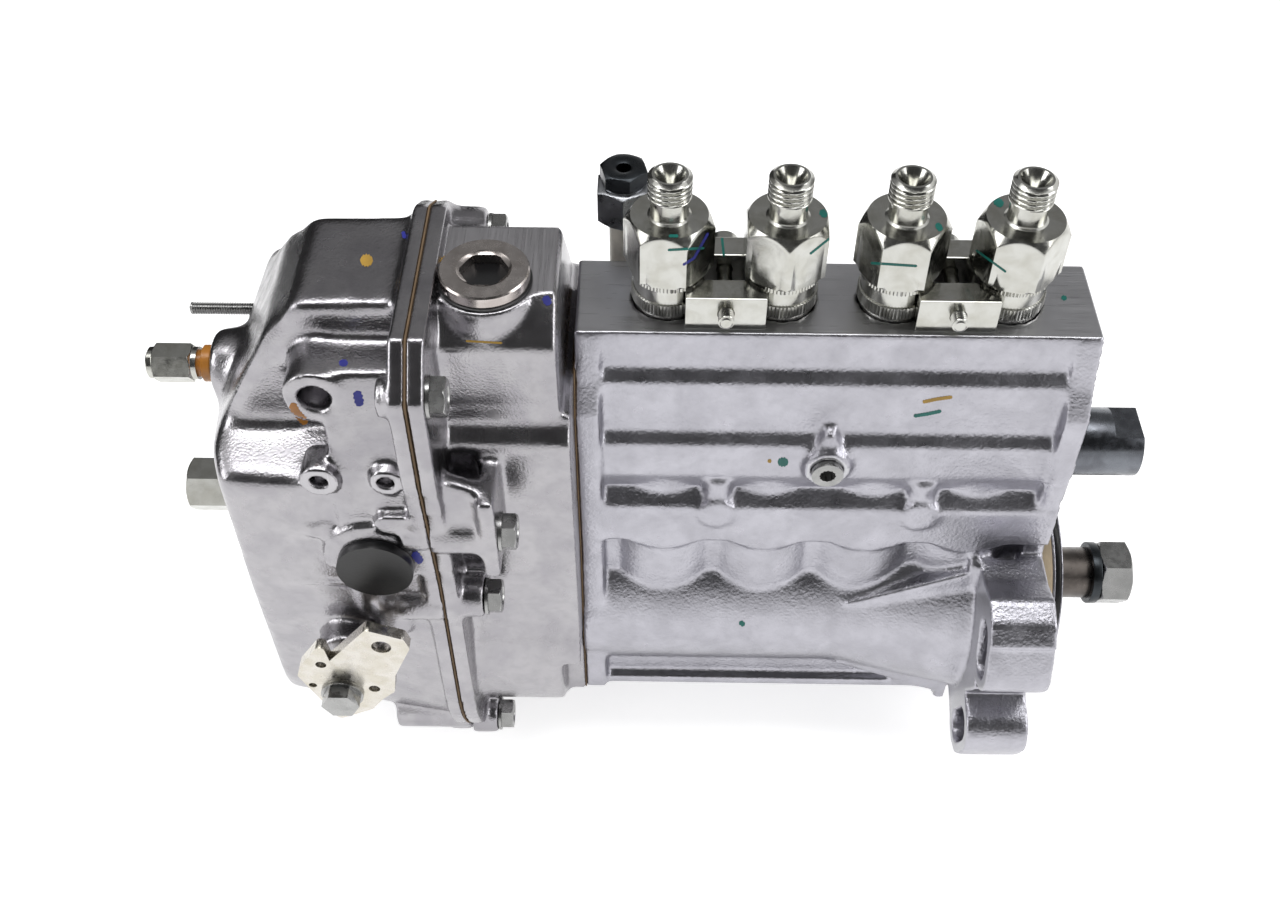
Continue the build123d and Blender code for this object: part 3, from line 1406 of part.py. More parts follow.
for number, side in ((1, 1), (2, -1)):
    with BuildPart() as flyweight:
        # eye on the pin, short arm towards the sleeve and the mass behind it
        with BuildSketch(Plane.XY.offset(-7.7)):
            with Locations((weight_pin_x, side * weight_pin_y)):
                Circle(4.5)
            Polygon(
                (weight_pin_x - 3.8, side * (weight_pin_y + 3)),
                (weight_pin_x - 3.8, side * (weight_pin_y - weight_arm)),
                (weight_pin_x - 0.2, side * (weight_pin_y - weight_arm)),
                (weight_pin_x + 2, side * (weight_pin_y - 2)),
                align=None,
            )
            with Locations((sleeve_flange_x + gap + 2, side * (weight_pin_y - weight_arm))):
                Circle(2)
        extrude(amount=15.4)
        with BuildSketch(Plane.XY.offset(-10)):
            Polygon(
                (weight_pin_x - 3, side * (weight_pin_y - 1)),
                (weight_pin_x - 5, side * (weight_pin_y - 4)),
                (weight_pin_x - 19, side * (weight_pin_y - 4)),
                (weight_pin_x - 19, side * (weight_pin_y + 8)),
                (weight_pin_x - 3, side * (weight_pin_y + 8)),
                align=None,
            )
        extrude(amount=20)
        with Locations((weight_pin_x, side * weight_pin_y, 0)):
            Cylinder(2.5 + slip, 30, mode=Mode.SUBTRACT)
        # clearance round the ears of the carrier
        for face in (1, -1):
            with Locations((weight_pin_x + 0.5, side * weight_pin_y, face * 9.8)):
                Box(12, 16, 3.6, mode=Mode.SUBTRACT)
    write(flyweight, f"flyweight_{number}")

# the sleeve reaches from the arms of the flyweights to the tension lever
sleeve_length = sleeve_flange_x - tension_x - 1.7 - gap
with BuildPart() as governor_sleeve:
    for radius, reach in ((12, 2.4), (7, sleeve_length * 0.73), (4, sleeve_length)):
        with BuildSketch(Plane.YZ.offset(sleeve_flange_x)):
            Circle(radius)
        extrude(amount=-reach)
write(governor_sleeve, "governor_sleeve")

# tension lever, hung on its pin in the top of the governor
with BuildPart() as tension_lever:
    with BuildSketch(Plane.YZ.offset(tension_x + 1.7)):
        with Locations((0, 47.5)):
            Rectangle(14, 105)
    extrude(amount=-3)
    with Locations(Pos(tension_x, 0, tension_pin_z) * Rot(90, 0, 0)):
        Cylinder(5, 14)
        Cylinder(2.5 + slip, 30, mode=Mode.SUBTRACT)
    # foot that carries the governor spring
    with Locations((tension_x - 1.3, 0, 20)):
        Box(18.2, 12, 3, align=(Align.MAX, Align.CENTER, Align.MIN))
write(tension_lever, "tension_lever")

# lever that links the governor to the rack; its fork straddles the rack pin
fork_x = rack_end_x + 4
with BuildPart() as fulcrum_lever:
    with BuildSketch(Plane.XZ.offset(-rack_y + 2.2)):
        with Locations((fork_x, (fulcrum_z + rack_z) / 2)):
            SlotCenterToCenter(rack_z - fulcrum_z, 10, rotation=90)
    extrude(amount=-4.4)
    with BuildSketch(Plane.XZ.offset(-rack_y + 5)):
        with Locations((fork_x, fulcrum_z)):
            Circle(5)
    extrude(amount=-10)
    with BuildSketch(Plane.XZ.offset(-rack_y + 6)):
        with Locations((fork_x, rack_z)):
            SlotCenterToCenter(2.6, 4.4, rotation=90)
        with Locations((fork_x, fulcrum_z)):
            Circle(2.5 + slip)
    extrude(amount=-12, mode=Mode.SUBTRACT)
write(fulcrum_lever, "fulcrum_lever")

# fixed pins of the two levers, pressed into the cover
with BuildPart() as lever_pins:
    with BuildSketch(Plane.XZ.offset(39)):
        with Locations((tension_x, tension_pin_z)):
            Circle(2.5)
    extrude(amount=-89)
    with BuildSketch(Plane.XZ.offset(50)):
        with Locations((fork_x, fulcrum_z)):
            Circle(2.5)
    extrude(amount=-42)
write(lever_pins, "lever_pins")

# governor spring between the foot of the tension lever and the arm of the control lever
spring_foot_z = 23 + gap
spring_head_z = 62.0
with BuildPart() as governor_spring:
    add(coil(spring_x, 0, spring_foot_z, spring_head_z, 5.5, 0.9, 7))
write(governor_spring, "governor_spring")

with BuildPart() as control_lever_shaft:
    with BuildSketch(Plane.XZ.offset(-control_lever_y + lever_plate)):
        with Locations((lever_shaft_x, lever_shaft_z)):
            Circle(lever_shaft_r)
    extrude(amount=control_lever_y - lever_plate - 28)
    # inner arm that holds the upper end of the spring
    with BuildSketch(Plane.XZ.offset(6)):
        with Locations((lever_shaft_x, lever_shaft_z)):
            Circle(lever_shaft_r + 0.5)
        Polygon(
            (lever_shaft_x - 4, lever_shaft_z),
            (lever_shaft_x - 4, spring_head_z + 4),
            (spring_x + 7, spring_head_z + 4),
            (spring_x + 7, spring_head_z + gap),
            (lever_shaft_x + 5, spring_head_z + gap),
            (lever_shaft_x + 5, lever_shaft_z),
            align=None,
        )
    extrude(amount=-12)
write(control_lever_shaft, "control_lever_shaft")

# control lever: a pressed plate on the outer end of the shaft, seen from the front
with BuildPart() as control_lever:
    with BuildSketch(Plane.XZ.offset(-control_lever_y)):
        with Locations((lever_shaft_x, lever_shaft_z)):
            Circle(8)
            Polygon(*lever_outline, align=None)
        # rounded corners
        offset(amount=-1.5, kind=Kind.INTERSECTION)
        offset(amount=1.5, kind=Kind.ARC)
    extrude(amount=lever_plate)
    with BuildSketch(Plane.XZ.offset(-control_lever_y)):
        with Locations((lever_shaft_x, lever_shaft_z)):
            Circle(lever_shaft_r)
        with Locations(lever_hole):
            Circle(lever_hole_r)
        for (x, z), radius in lever_small_holes:
            with Locations((lever_shaft_x + x, lever_shaft_z + z)):
                Circle(radius)
    extrude(amount=lever_plate, mode=Mode.SUBTRACT)
write(control_lever, "control_lever")

with BuildPart() as control_lever_bolt:
    with BuildSketch(Plane.XZ.offset(-control_lever_y + lever_plate)):
        with Locations((lever_shaft_x, lever_shaft_z)):
            RegularPolygon(5, 6, major_radius=False)
    extrude(amount=5)
    with BuildSketch(Plane.XZ.offset(-control_lever_y + lever_plate)):
        with Locations((lever_shaft_x, lever_shaft_z)):
            Circle(6.4)
    extrude(amount=1)
write(control_lever_bolt, "control_lever_bolt")

# idle spring capsule: a screw with a lock nut in the dome of the end face, and its cap nut
with BuildPart() as idle_spring_capsule:
    with BuildSketch(Plane.YZ.offset(cover_end_x + 0.2)):
        with Locations((0, capsule_z)):
            Circle(5.6)
    extrude(amount=-3)
    with BuildSketch(Plane.YZ.offset(cover_end_x - 0.3)):
        with Locations((0, capsule_z)):
            Circle(4.2)
    extrude(amount=-4)
    with BuildSketch(Plane.YZ.offset(cover_end_x + 17.7)):
        with Locations((0, capsule_z)):
            Circle(4)
    extrude(amount=-20)
    # cap nut over its end
    with BuildSketch(Plane.YZ.offset(cover_end_x - 4.4)):
        with Locations((0, capsule_z)):
            RegularPolygon(5.3, 6, major_radius=False)
    extrude(amount=-15.2)
write(idle_spring_capsule, "idle_spring_capsule")

with BuildPart() as torque_capsule:
    with BuildSketch(Plane.YZ.offset(cover_end_x + 3.7)):
        with Locations((0, torque_z)):
            RegularPolygon(8, 6, major_radius=False)
    extrude(amount=-23.5)
    with BuildSketch(Plane.YZ.offset(cover_end_x + 21.7)):
        with Locations((0, torque_z)):
            Circle(4)
    extrude(amount=-20)
write(torque_capsule, "torque_capsule")

with BuildPart() as speed_stop_stud:
    with BuildSketch(Plane.YZ.offset(cover_end_x + 19.7)):
        with Locations((stud_y, stud_z)):
            Circle(2)
    extrude(amount=-35)
write(speed_stop_stud, "speed_stop_stud")
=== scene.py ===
"""Looks of the in-line diesel injection pump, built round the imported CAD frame.

Everything is in metres in the frame's own axes: origin on the camshaft axis in the mounting face,
+X out of the drive end, +Z up, -Y towards the photographed side. Shapes are written in
millimetres, and MM turns them into metres.
"""

import json
import math

import bpy
import numpy as np
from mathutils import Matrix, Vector
from mathutils.bvhtree import BVHTree

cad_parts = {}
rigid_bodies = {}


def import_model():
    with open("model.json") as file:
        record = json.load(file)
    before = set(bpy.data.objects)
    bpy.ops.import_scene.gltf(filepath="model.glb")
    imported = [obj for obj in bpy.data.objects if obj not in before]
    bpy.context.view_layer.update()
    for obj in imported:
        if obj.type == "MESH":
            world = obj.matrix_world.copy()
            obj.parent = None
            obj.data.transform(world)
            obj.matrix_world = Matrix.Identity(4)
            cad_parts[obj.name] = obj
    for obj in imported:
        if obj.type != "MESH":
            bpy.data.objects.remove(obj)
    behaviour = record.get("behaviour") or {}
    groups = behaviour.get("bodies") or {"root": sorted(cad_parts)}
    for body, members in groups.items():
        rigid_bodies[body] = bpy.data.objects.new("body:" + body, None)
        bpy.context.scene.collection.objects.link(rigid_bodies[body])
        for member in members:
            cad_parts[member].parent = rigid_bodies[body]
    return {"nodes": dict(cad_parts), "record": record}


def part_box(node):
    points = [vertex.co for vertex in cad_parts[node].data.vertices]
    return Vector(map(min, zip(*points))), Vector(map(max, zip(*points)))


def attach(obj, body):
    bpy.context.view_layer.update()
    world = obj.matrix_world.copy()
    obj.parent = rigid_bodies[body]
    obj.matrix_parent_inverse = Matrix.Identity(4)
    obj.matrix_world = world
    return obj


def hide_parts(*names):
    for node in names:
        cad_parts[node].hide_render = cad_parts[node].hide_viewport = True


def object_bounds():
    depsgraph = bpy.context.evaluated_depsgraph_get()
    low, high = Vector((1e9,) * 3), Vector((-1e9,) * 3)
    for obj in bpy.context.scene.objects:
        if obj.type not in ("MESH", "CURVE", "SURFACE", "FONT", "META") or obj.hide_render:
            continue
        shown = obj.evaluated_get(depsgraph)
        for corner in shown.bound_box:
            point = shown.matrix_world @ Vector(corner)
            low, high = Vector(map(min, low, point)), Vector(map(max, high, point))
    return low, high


MM = 0.001

# ---------------------------------------------------------------- view of the photograph
CAMERA_PLACE = Vector((-0.1248, -0.3046, 0.3962))
CAMERA_PITCH = math.radians(48.05)      # below the horizon
CAMERA_YAW = math.radians(-0.89)
CAMERA_ROLL = math.radians(0.10)
SENSOR_WIDTH = 36                       # millimetres, like the lens
CAMERA_LENS = 39.909
PHOTO_WIDTH = 1280
PHOTO_HEIGHT = 914
PHOTO_FOCAL = CAMERA_LENS / SENSOR_WIDTH * PHOTO_WIDTH

# ---------------------------------------------------------------- machined levels, in millimetres
DECK_Z = 126.0              # top of the pump housing
FLANGE_BACK_X = -20.7
TAIL_X = -147.7             # pump housing's joint to the governor
GOVERNOR_X = -148.2         # governor housing's joint to the pump
COVER_JOINT_X = -187.2      # governor housing's joint to the cover
COVER_X = -187.7            # cover's joint
FIRST_HOLDER_X = -25.7
HOLDER_PITCH = 32
HOLDER_X = [FIRST_HOLDER_X - HOLDER_PITCH * i for i in range(4)]
HOLDER_TURNS = (16, 26, 0, 22)
CLAMP_X = (-41.7, -105.7)

# ---------------------------------------------------------------- mesh settings
WELD_DISTANCE = 1e-6
CAD_BEVEL = 0.25 * MM
CAD_BEVEL_ANGLE = math.radians(38)
VOXEL = 0.9 * MM
CAST_ROUNDS = 4             # smoothing rounds over a whole casting
SMOOTHING_STEP = 0.6
PLANE_REACH = 0.62 * VOXEL  # points this near a machined plane lie on it
PLANE_FACING = 0.75         # if their normal is turned this much towards it
SOFT_RAMP = 4 * MM          # extra smoothing fades in over this depth

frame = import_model()
cad_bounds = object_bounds()
scene = bpy.context.scene


# ================================================================ materials
class Surface:
    """A procedural material: short calls that wire up its nodes."""

    def __init__(self, name, colour, metallic, roughness):
        self.material = bpy.data.materials.new(name)
        self.material.use_nodes = True
        self.tree = self.material.node_tree
        self.shader = self.tree.nodes["Principled BSDF"]
        self.shader.inputs["Base Color"].default_value = (*colour, 1)
        self.shader.inputs["Metallic"].default_value = metallic
        self.shader.inputs["Roughness"].default_value = roughness
        self.place = self.add("ShaderNodeTexCoord").outputs["Object"]
        self.height = None

    def add(self, kind, **settings):
        node = self.tree.nodes.new(kind)
        for key, value in settings.items():
            setattr(node, key, value)
        return node

    def link(self, source, target):
        self.tree.links.new(source, target)

    def noise(self, size, detail=4, stretch=(1, 1, 1), distortion=0):
        """Noise whose features are about size millimetres wide."""
        mapping = self.add("ShaderNodeMapping")
        mapping.inputs["Scale"].default_value = [s / (size * MM) for s in stretch]
        noise = self.add("ShaderNodeTexNoise")
        noise.inputs["Scale"].default_value = 1
        noise.inputs["Detail"].default_value = detail
        noise.inputs["Distortion"].default_value = distortion
        self.link(self.place, mapping.inputs["Vector"])
        self.link(mapping.outputs["Vector"], noise.inputs["Vector"])
        return noise.outputs["Fac"]

    def pits(self, size):
        """Small round cells, about size millimetres apart."""
        cells = self.add("ShaderNodeTexVoronoi")
        cells.inputs["Scale"].default_value = 1 / (size * MM)
        self.link(self.place, cells.inputs["Vector"])
        return cells.outputs["Distance"]

    def remap(self, value, low, high, out_low, out_high):
        """Value from low..high spread over out_low..out_high."""
        node = self.add("ShaderNodeMapRange")
        self.link(value, node.inputs["Value"])
        ends = {"From Min": low, "From Max": high, "To Min": out_low, "To Max": out_high}
        for key, number in ends.items():
            node.inputs[key].default_value = number
        return node.outputs["Result"]

    def mix(self, factor, first, second):
        """Colour between two, each a colour or a socket."""
        node = self.add("ShaderNodeMix", data_type="RGBA")
        self.link(factor, node.inputs["Factor"])
        for socket, value in ((node.inputs[6], first), (node.inputs[7], second)):
            if isinstance(value, tuple):
                socket.default_value = (*value, 1)
            else:
                self.link(value, socket)
        return node.outputs[2]

    def colour(self, socket):
        self.link(socket, self.shader.inputs["Base Color"])

    def roughness(self, socket):
        self.link(socket, self.shader.inputs["Roughness"])

    def bump(self, socket, depth):
        """Relief of depth millimetres, on top of any relief already there."""
        node = self.add("ShaderNodeBump")
        node.inputs["Distance"].default_value = depth * MM
        self.link(socket, node.inputs["Height"])
        if self.height is not None:
            self.link(self.height, node.inputs["Normal"])
        self.height = node.outputs["Normal"]
        self.link(self.height, self.shader.inputs["Normal"])


def cast_aluminium(name, light, dark, grain, relief, roughness):
    """Die-cast aluminium: a fine skin, blotches from the mould and small pits."""
    made = Surface(name, light, 1, roughness)
    blotches = made.remap(made.noise(14, 6, distortion=0.8), 0.38, 0.66, 0, 1)
    smudges = made.remap(made.noise(3.2, 5), 0.45, 0.75, 0, 0.35)
    tint = made.mix(blotches, light, dark)
    made.colour(made.mix(smudges, tint, tuple(c * 0.82 for c in dark)))
    made.roughness(made.remap(made.noise(7, 4), 0.3, 0.7, roughness - 0.04, roughness + 0.06))
    made.bump(made.noise(9, 3), 0.06)
    made.bump(made.noise(grain, 5), relief)
    made.bump(made.pits(grain * 1.6), relief * 0.5)
    return made.material


def machined_aluminium(name, colour, direction):
    """Milled face with fine parallel tool marks across the given direction."""
    made = Surface(name, colour, 1, 0.34)
    stretch = tuple(1.0 if d else 0.02 for d in direction)
    marks = made.noise(0.35, 3, stretch=stretch)
    cloud = made.remap(made.noise(18, 3), 0.35, 0.65, 0, 1)
    made.colour(made.mix(cloud, colour, tuple(c * 0.86 for c in colour)))
    made.roughness(made.remap(marks, 0.3, 0.7, 0.26, 0.42))
    made.bump(marks, 0.012)
    return made.material


def steel(name, colour, roughness, stain=None):
    """Turned or plated steel with fine scratches and a faint stain."""
    made = Surface(name, colour, 1, roughness)
    stain = stain or tuple(c * 0.8 for c in colour)
    cloud = made.remap(made.noise(6, 5, distortion=0.5), 0.4, 0.68, 0, 1)
    made.colour(made.mix(cloud, colour, stain))
    made.roughness(made.remap(made.noise(2.5, 4), 0.3, 0.7, roughness - 0.06, roughness + 0.1))
    made.bump(made.noise(0.5, 4), 0.006)
    return made.material


def dull(name, colour, roughness):
    """Rubber, fibre or paper: no metal, a soft grain."""
    made = Surface(name, colour, 0, roughness)
    cloud = made.remap(made.noise(5, 4), 0.35, 0.65, 0, 1)
    made.colour(made.mix(cloud, colour, tuple(c * 0.75 for c in colour)))
    made.bump(made.noise(0.8, 4), 0.03)
    return made.material


PUMP_CAST = cast_aluminium(
    "pump cast", (0.44, 0.435, 0.475), (0.375, 0.37, 0.405), 0.8, 0.14, 0.31
)
GOVERNOR_CAST = cast_aluminium(
    "governor cast", (0.385, 0.375, 0.39), (0.325, 0.315, 0.335), 0.6, 0.07, 0.235
)
MILLED = machined_aluminium("milled aluminium", (0.52, 0.52, 0.54), (0, 1, 1))
FACED = machined_aluminium("faced aluminium", (0.48, 0.47, 0.49), (1, 0, 0))
SLOTS = {
    "pump_casting": PUMP_CAST,
    "governor_casting": GOVERNOR_CAST,
    "machined_steel": steel("bright steel", (0.52, 0.52, 0.49), 0.17, (0.43, 0.425, 0.385)),
    "zinc_steel": steel("zinc plate", (0.60, 0.575, 0.53), 0.24, (0.52, 0.49, 0.42)),
    "hard_steel": steel("hardened steel", (0.45, 0.44, 0.43), 0.28),
    "dark_steel": steel("dark steel", (0.13, 0.13, 0.14), 0.32),
    "spring_steel": steel("spring steel", (0.35, 0.36, 0.38), 0.3),
    "black_rubber": dull("black rubber", (0.008, 0.008, 0.009), 0.34),
    "gasket_fibre": dull("gasket fibre", (0.20, 0.13, 0.07), 0.8),
    "ring_fibre": dull("ring fibre", (0.62, 0.50, 0.34), 0.7),
}
BRIGHT_STEEL = SLOTS["machined_steel"]
DARK_STEEL = SLOTS["dark_steel"]
GREY_STEEL = steel("grey steel", (0.36, 0.36, 0.355), 0.26)
BLUED_STEEL = steel("blued steel", (0.17, 0.18, 0.20), 0.24, (0.12, 0.125, 0.14))
SHAFT_STEEL = steel("oiled shaft steel", (0.13, 0.115, 0.105), 0.3, (0.08, 0.07, 0.065))
PLUG_STEEL = steel("turned plug steel", (0.53, 0.49, 0.47), 0.22, (0.42, 0.38, 0.36))
BLACK_STEEL = steel("black oxide", (0.045, 0.05, 0.055), 0.3)
CREAM_PIPE = dull("cream coating", (0.60, 0.57, 0.50), 0.4)
LACQUER = dull("orange lacquer", (0.50, 0.20, 0.03), 0.3)
PAINTS = {
    "blue": dull("blue paint", (0.03, 0.035, 0.30), 0.45),
    "yellow": dull("yellow paint", (0.50, 0.30, 0.05), 0.45),
    "green": dull("green paint", (0.0, 0.16, 0.13), 0.45),
}
# nodes whose finish differs from the others of their slot
OWN_FINISH = {
    "rack_end_cap": BLUED_STEEL,
    "camshaft": SHAFT_STEEL,
    "spring_washer": BLACK_STEEL,
    "rack_guide_screw": GREY_STEEL,
    "control_lever_bolt": GREY_STEEL,
}


# ================================================================ meshes
def mesh_object(name, points, faces, material, smooth_angle=30):
    """New object from points in metres; edges sharper than smooth_angle stay sharp."""
    mesh = bpy.data.meshes.new(name)
    mesh.from_pydata([tuple(p) for p in points], [], [tuple(f) for f in faces])
    mesh.materials.append(material)
    mesh.shade_smooth()
    mesh.set_sharp_from_angle(angle=math.radians(smooth_angle))
    made = bpy.data.objects.new(name, mesh)
    scene.collection.objects.link(made)
    return made


def put(piece, body, stands_for=()):
    """Tie a piece to its CAD body and hide the CAD nodes it stands for."""
    if stands_for:
        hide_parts(*stands_for)
    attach(piece, body)


def add_weld(piece):
    weld = piece.modifiers.new("weld", "WELD")
    weld.merge_threshold = WELD_DISTANCE


def tidy_cad_mesh(node):
    """Weld a CAD mesh and round its edges a little."""
    add_weld(node)
    bevel = node.modifiers.new("edges", "BEVEL")
    bevel.width = CAD_BEVEL
    bevel.segments = 2
    bevel.limit_method = "ANGLE"
    bevel.angle_limit = CAD_BEVEL_ANGLE
    bevel.use_clamp_overlap = True


def along(axis, point):
    """Point drawn about the Z axis, turned so that it is about another one."""
    order = {"x": (2, 0, 1), "y": (1, 2, 0), "z": (0, 1, 2)}[axis]
    return tuple(point[k] for k in order)


def prism_mesh(outline, low, high, axis="x"):
    """Points and faces of an outline drawn out along an axis, in millimetres."""
    count = len(outline)
    points = [along(axis, (a, b, c)) for c in (low, high) for a, b in outline]
    faces = [tuple(range(count)), tuple(range(2 * count - 1, count - 1, -1))]
    faces += [(k, k + count, (k + 1) % count + count, (k + 1) % count) for k in range(count)]
    return points, faces


def append_mesh(points, faces, new_points, new_faces):
    """Add a mesh to lists that already hold others."""
    start = len(points)
    points += new_points
    faces += [tuple(i + start for i in face) for face in new_faces]


def read_array(items, attribute, width, kind=float):
    """An attribute of every item of a mesh, as rows of width numbers."""
    values = np.empty(len(items) * width, dtype=kind)
    items.foreach_get(attribute, values)
    return values.reshape(-1, width)


def smoothed(points, edges, rounds, held, weight=None):
    """Laplacian smoothing that leaves the held coordinates where they are.

    weight, from 0 to 1 for each point, says how far the smoothing acts there.
    """
    counts = np.zeros(len(points))
    np.add.at(counts, edges[:, 0], 1)
    np.add.at(counts, edges[:, 1], 1)
    free = np.where(held, 0.0, 1.0)
    if weight is not None:
        free = free * weight[:, None]
    for _ in range(rounds):
        total = np.zeros_like(points)
        for axis in range(3):
            total[:, axis] += np.bincount(edges[:, 0], points[edges[:, 1], axis], len(points))
            total[:, axis] += np.bincount(edges[:, 1], points[edges[:, 0], axis], len(points))
        step = total / np.maximum(counts, 1)[:, None] - points
        points = points + SMOOTHING_STEP * step * free
    return points


def casting(node_name, cast, machined, planes, extras, soft=()):
    """Cast copy of a CAD node: rounded by remeshing, with its machined planes kept flat.

    planes holds (axis, level, low corner, high corner), extras the points and faces of shapes
    cast on, and soft (low corner, high corner, rounds) where the edges are rounded further. All
    in millimetres.
    """
    source = frame["nodes"][node_name]
    name = node_name + "_cast"
    points = [tuple(v.co) for v in source.data.vertices]
    faces = [tuple(p.vertices) for p in source.data.polygons]
    for corners, sides in extras:
        append_mesh(points, faces, [tuple(c * MM for c in corner) for corner in corners], sides)
    rough = mesh_object(name, points, faces, cast)
    add_weld(rough)
    remesh = rough.modifiers.new("skin", "REMESH")
    remesh.mode = "VOXEL"
    remesh.voxel_size = VOXEL * 1
    evaluated = rough.evaluated_get(bpy.context.evaluated_depsgraph_get())
    mesh = bpy.data.meshes.new_from_object(evaluated)
    rough.modifiers.clear()
    rough.data = mesh
    points = read_array(mesh.vertices, "co", 3)
    normals = read_array(mesh.vertices, "normal", 3)
    edges = read_array(mesh.edges, "vertices", 2, np.int64)
    held = np.zeros(points.shape, dtype=bool)
    for axis, level, low, high in planes:
        inside = np.all((points > np.array(low) * MM) & (points < np.array(high) * MM), axis=1)
        near = np.abs(points[:, axis] - level * MM) < PLANE_REACH
        flat = np.abs(normals[:, axis]) > PLANE_FACING
        chosen = inside & near & flat
        points[chosen, axis] = level * MM
        held[chosen, axis] = True
    points = smoothed(points, edges, CAST_ROUNDS, held)
    for low, high, more in soft:
        depth = np.minimum(points - np.array(low) * MM, np.array(high) * MM - points).min(axis=1)
        points = smoothed(points, edges, more, held, np.clip(depth / SOFT_RAMP, 0, 1))
    low, high = (np.array(c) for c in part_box(node_name))
    points = np.clip(points, low, high)
    mesh.vertices.foreach_set("co", points.reshape(-1))
    mesh.update()
    mesh.materials.clear()
    mesh.materials.append(cast)
    mesh.materials.append(machined)
    on_plane = held.any(axis=1)
    index = [1 if all(on_plane[v] for v in polygon.vertices) else 0 for polygon in mesh.polygons]
    mesh.polygons.foreach_set("material_index", index)
    mesh.shade_smooth()
    put(rough, "housing", (node_name,))


def lathe(place, stations, material, segments=96, start=0.0, axis="z"):
    """Closed stack of rings round an axis through place, as points, faces and its material.

    Each station is (height, radius), where the radius is a number or a function of the angle.
    Millimetres; axis is "z", "x" or "y".
    """
    points = []
    for height, radius in stations:
        for k in range(segments):
            angle = start + 2 * math.pi * k / segments
            r = radius(angle) if callable(radius) else radius
            points.append((r * math.cos(angle), r * math.sin(angle), height))
    faces = []
    for row in range(len(stations) - 1):
        for k in range(segments):
            a = row * segments + k
            b = row * segments + (k + 1) % segments
            faces.append((a, b, b + segments, a + segments))
    for row, order in ((0, -1), (len(stations) - 1, 1)):
        pole = len(points)
        points.append((0, 0, stations[row][0]))
        for k in range(segments):
            a = row * segments + k
            b = row * segments + (k + 1) % segments
            faces.append((a, b, pole)[::order])
    moved = [tuple((c + o) * MM for c, o in zip(along(axis, p), place)) for p in points]
    return moved, faces, material


def joined(name, shapes, smooth_angle=35):
    """One mesh object from several lathe shapes, each with its own material."""
    points, faces, index, materials = [], [], [], []
    for shape_points, shape_faces, material in shapes:
        if material not in materials:
            materials.append(material)
        append_mesh(points, faces, shape_points, shape_faces)
        index += [materials.index(material)] * len(shape_faces)
    made = mesh_object(name, points, faces, materials[0], smooth_angle)
    for material in materials[1:]:
        made.data.materials.append(material)
    made.data.polygons.foreach_set("material_index", index)
    return made


def hexagon(across_flats, turn, limit=None):
    """Radius of a hexagon at an angle, kept within limit."""

    def radius(angle):
        off = (angle - turn + math.pi / 6) % (math.pi / 3) - math.pi / 6
        r = across_flats / 2 / math.cos(off)
        return min(r, limit) if limit else r

    return radius


def hex_bar(low, high, across, turn, chamfers=(True, True)):
    """Stations of a hexagonal bar whose corners are turned to a cone at the marked ends."""
    corner = across / 2 / math.cos(math.pi / 6)
    face = across / 2 * 0.96
    slope = 0.6
    steps = 5
    cone = [(corner - face) * k / steps for k in range(steps + 1)]
    first = [(low, hexagon(across, turn))]
    last = [(high, hexagon(across, turn))]
    if chamfers[0]:
        first = [(low + slope * c, hexagon(across, turn, face + c)) for c in cone]
    if chamfers[1]:
        last = [(high - slope * c, hexagon(across, turn, face + c)) for c in reversed(cone)]
    return first + last


def serrated(outer, depth, teeth):
    """Radius of a ring with pointed teeth."""

    def radius(angle):
        phase = angle * teeth / (2 * math.pi) % 1
        return outer - depth * abs(2 * phase - 1)

    return radius


def threaded(height, outer, pitch, depth):
    """Radius of a screw thread at a height."""

    def radius(angle):
        phase = (height / pitch - angle / (2 * math.pi)) % 1
        return outer - depth * min(1, max(0, abs(4 * phase - 2) - 0.35) / 1.3)

    return radius


def thread(low, high, outer, pitch, depth, per_pitch=9):
    """Stations of a thread between two heights, fading at both ends."""
    count = max(4, round((high - low) / pitch * per_pitch))
    rows = []
    for step in range(count + 1):
        height = low + (high - low) * step / count
        fade = min(1, min(step, count - step) / 5)
        rows.append((height, threaded(height, outer, pitch, depth * fade)))
    return rows


# ================================================================ camera
def camera_axes():
    """Right, down and forward of the photograph's view."""
    forward = Vector((
        math.sin(CAMERA_YAW) * math.cos(CAMERA_PITCH),
        math.cos(CAMERA_YAW) * math.cos(CAMERA_PITCH),
        -math.sin(CAMERA_PITCH),
    ))
    right = Vector((math.cos(CAMERA_YAW), -math.sin(CAMERA_YAW), 0))
    down = forward.cross(right)
    c, s = math.cos(CAMERA_ROLL), math.sin(CAMERA_ROLL)
    return c * right - s * down, s * right + c * down, forward


def add_camera():
    """Camera that stands where the photograph was taken."""
    data = bpy.data.cameras.new("camera")
    data.sensor_width = SENSOR_WIDTH
    data.lens = CAMERA_LENS
    data.clip_start = 0.01
    camera = bpy.data.objects.new("camera", data)
    scene.collection.objects.link(camera)
    camera.location = CAMERA_PLACE
    right, down, forward = camera_axes()
    rotation = camera.rotation_euler.to_matrix()
    rotation.col[0] = right
    rotation.col[1] = -down
    rotation.col[2] = -forward
    camera.rotation_euler = rotation.to_euler()
    scene.camera = camera


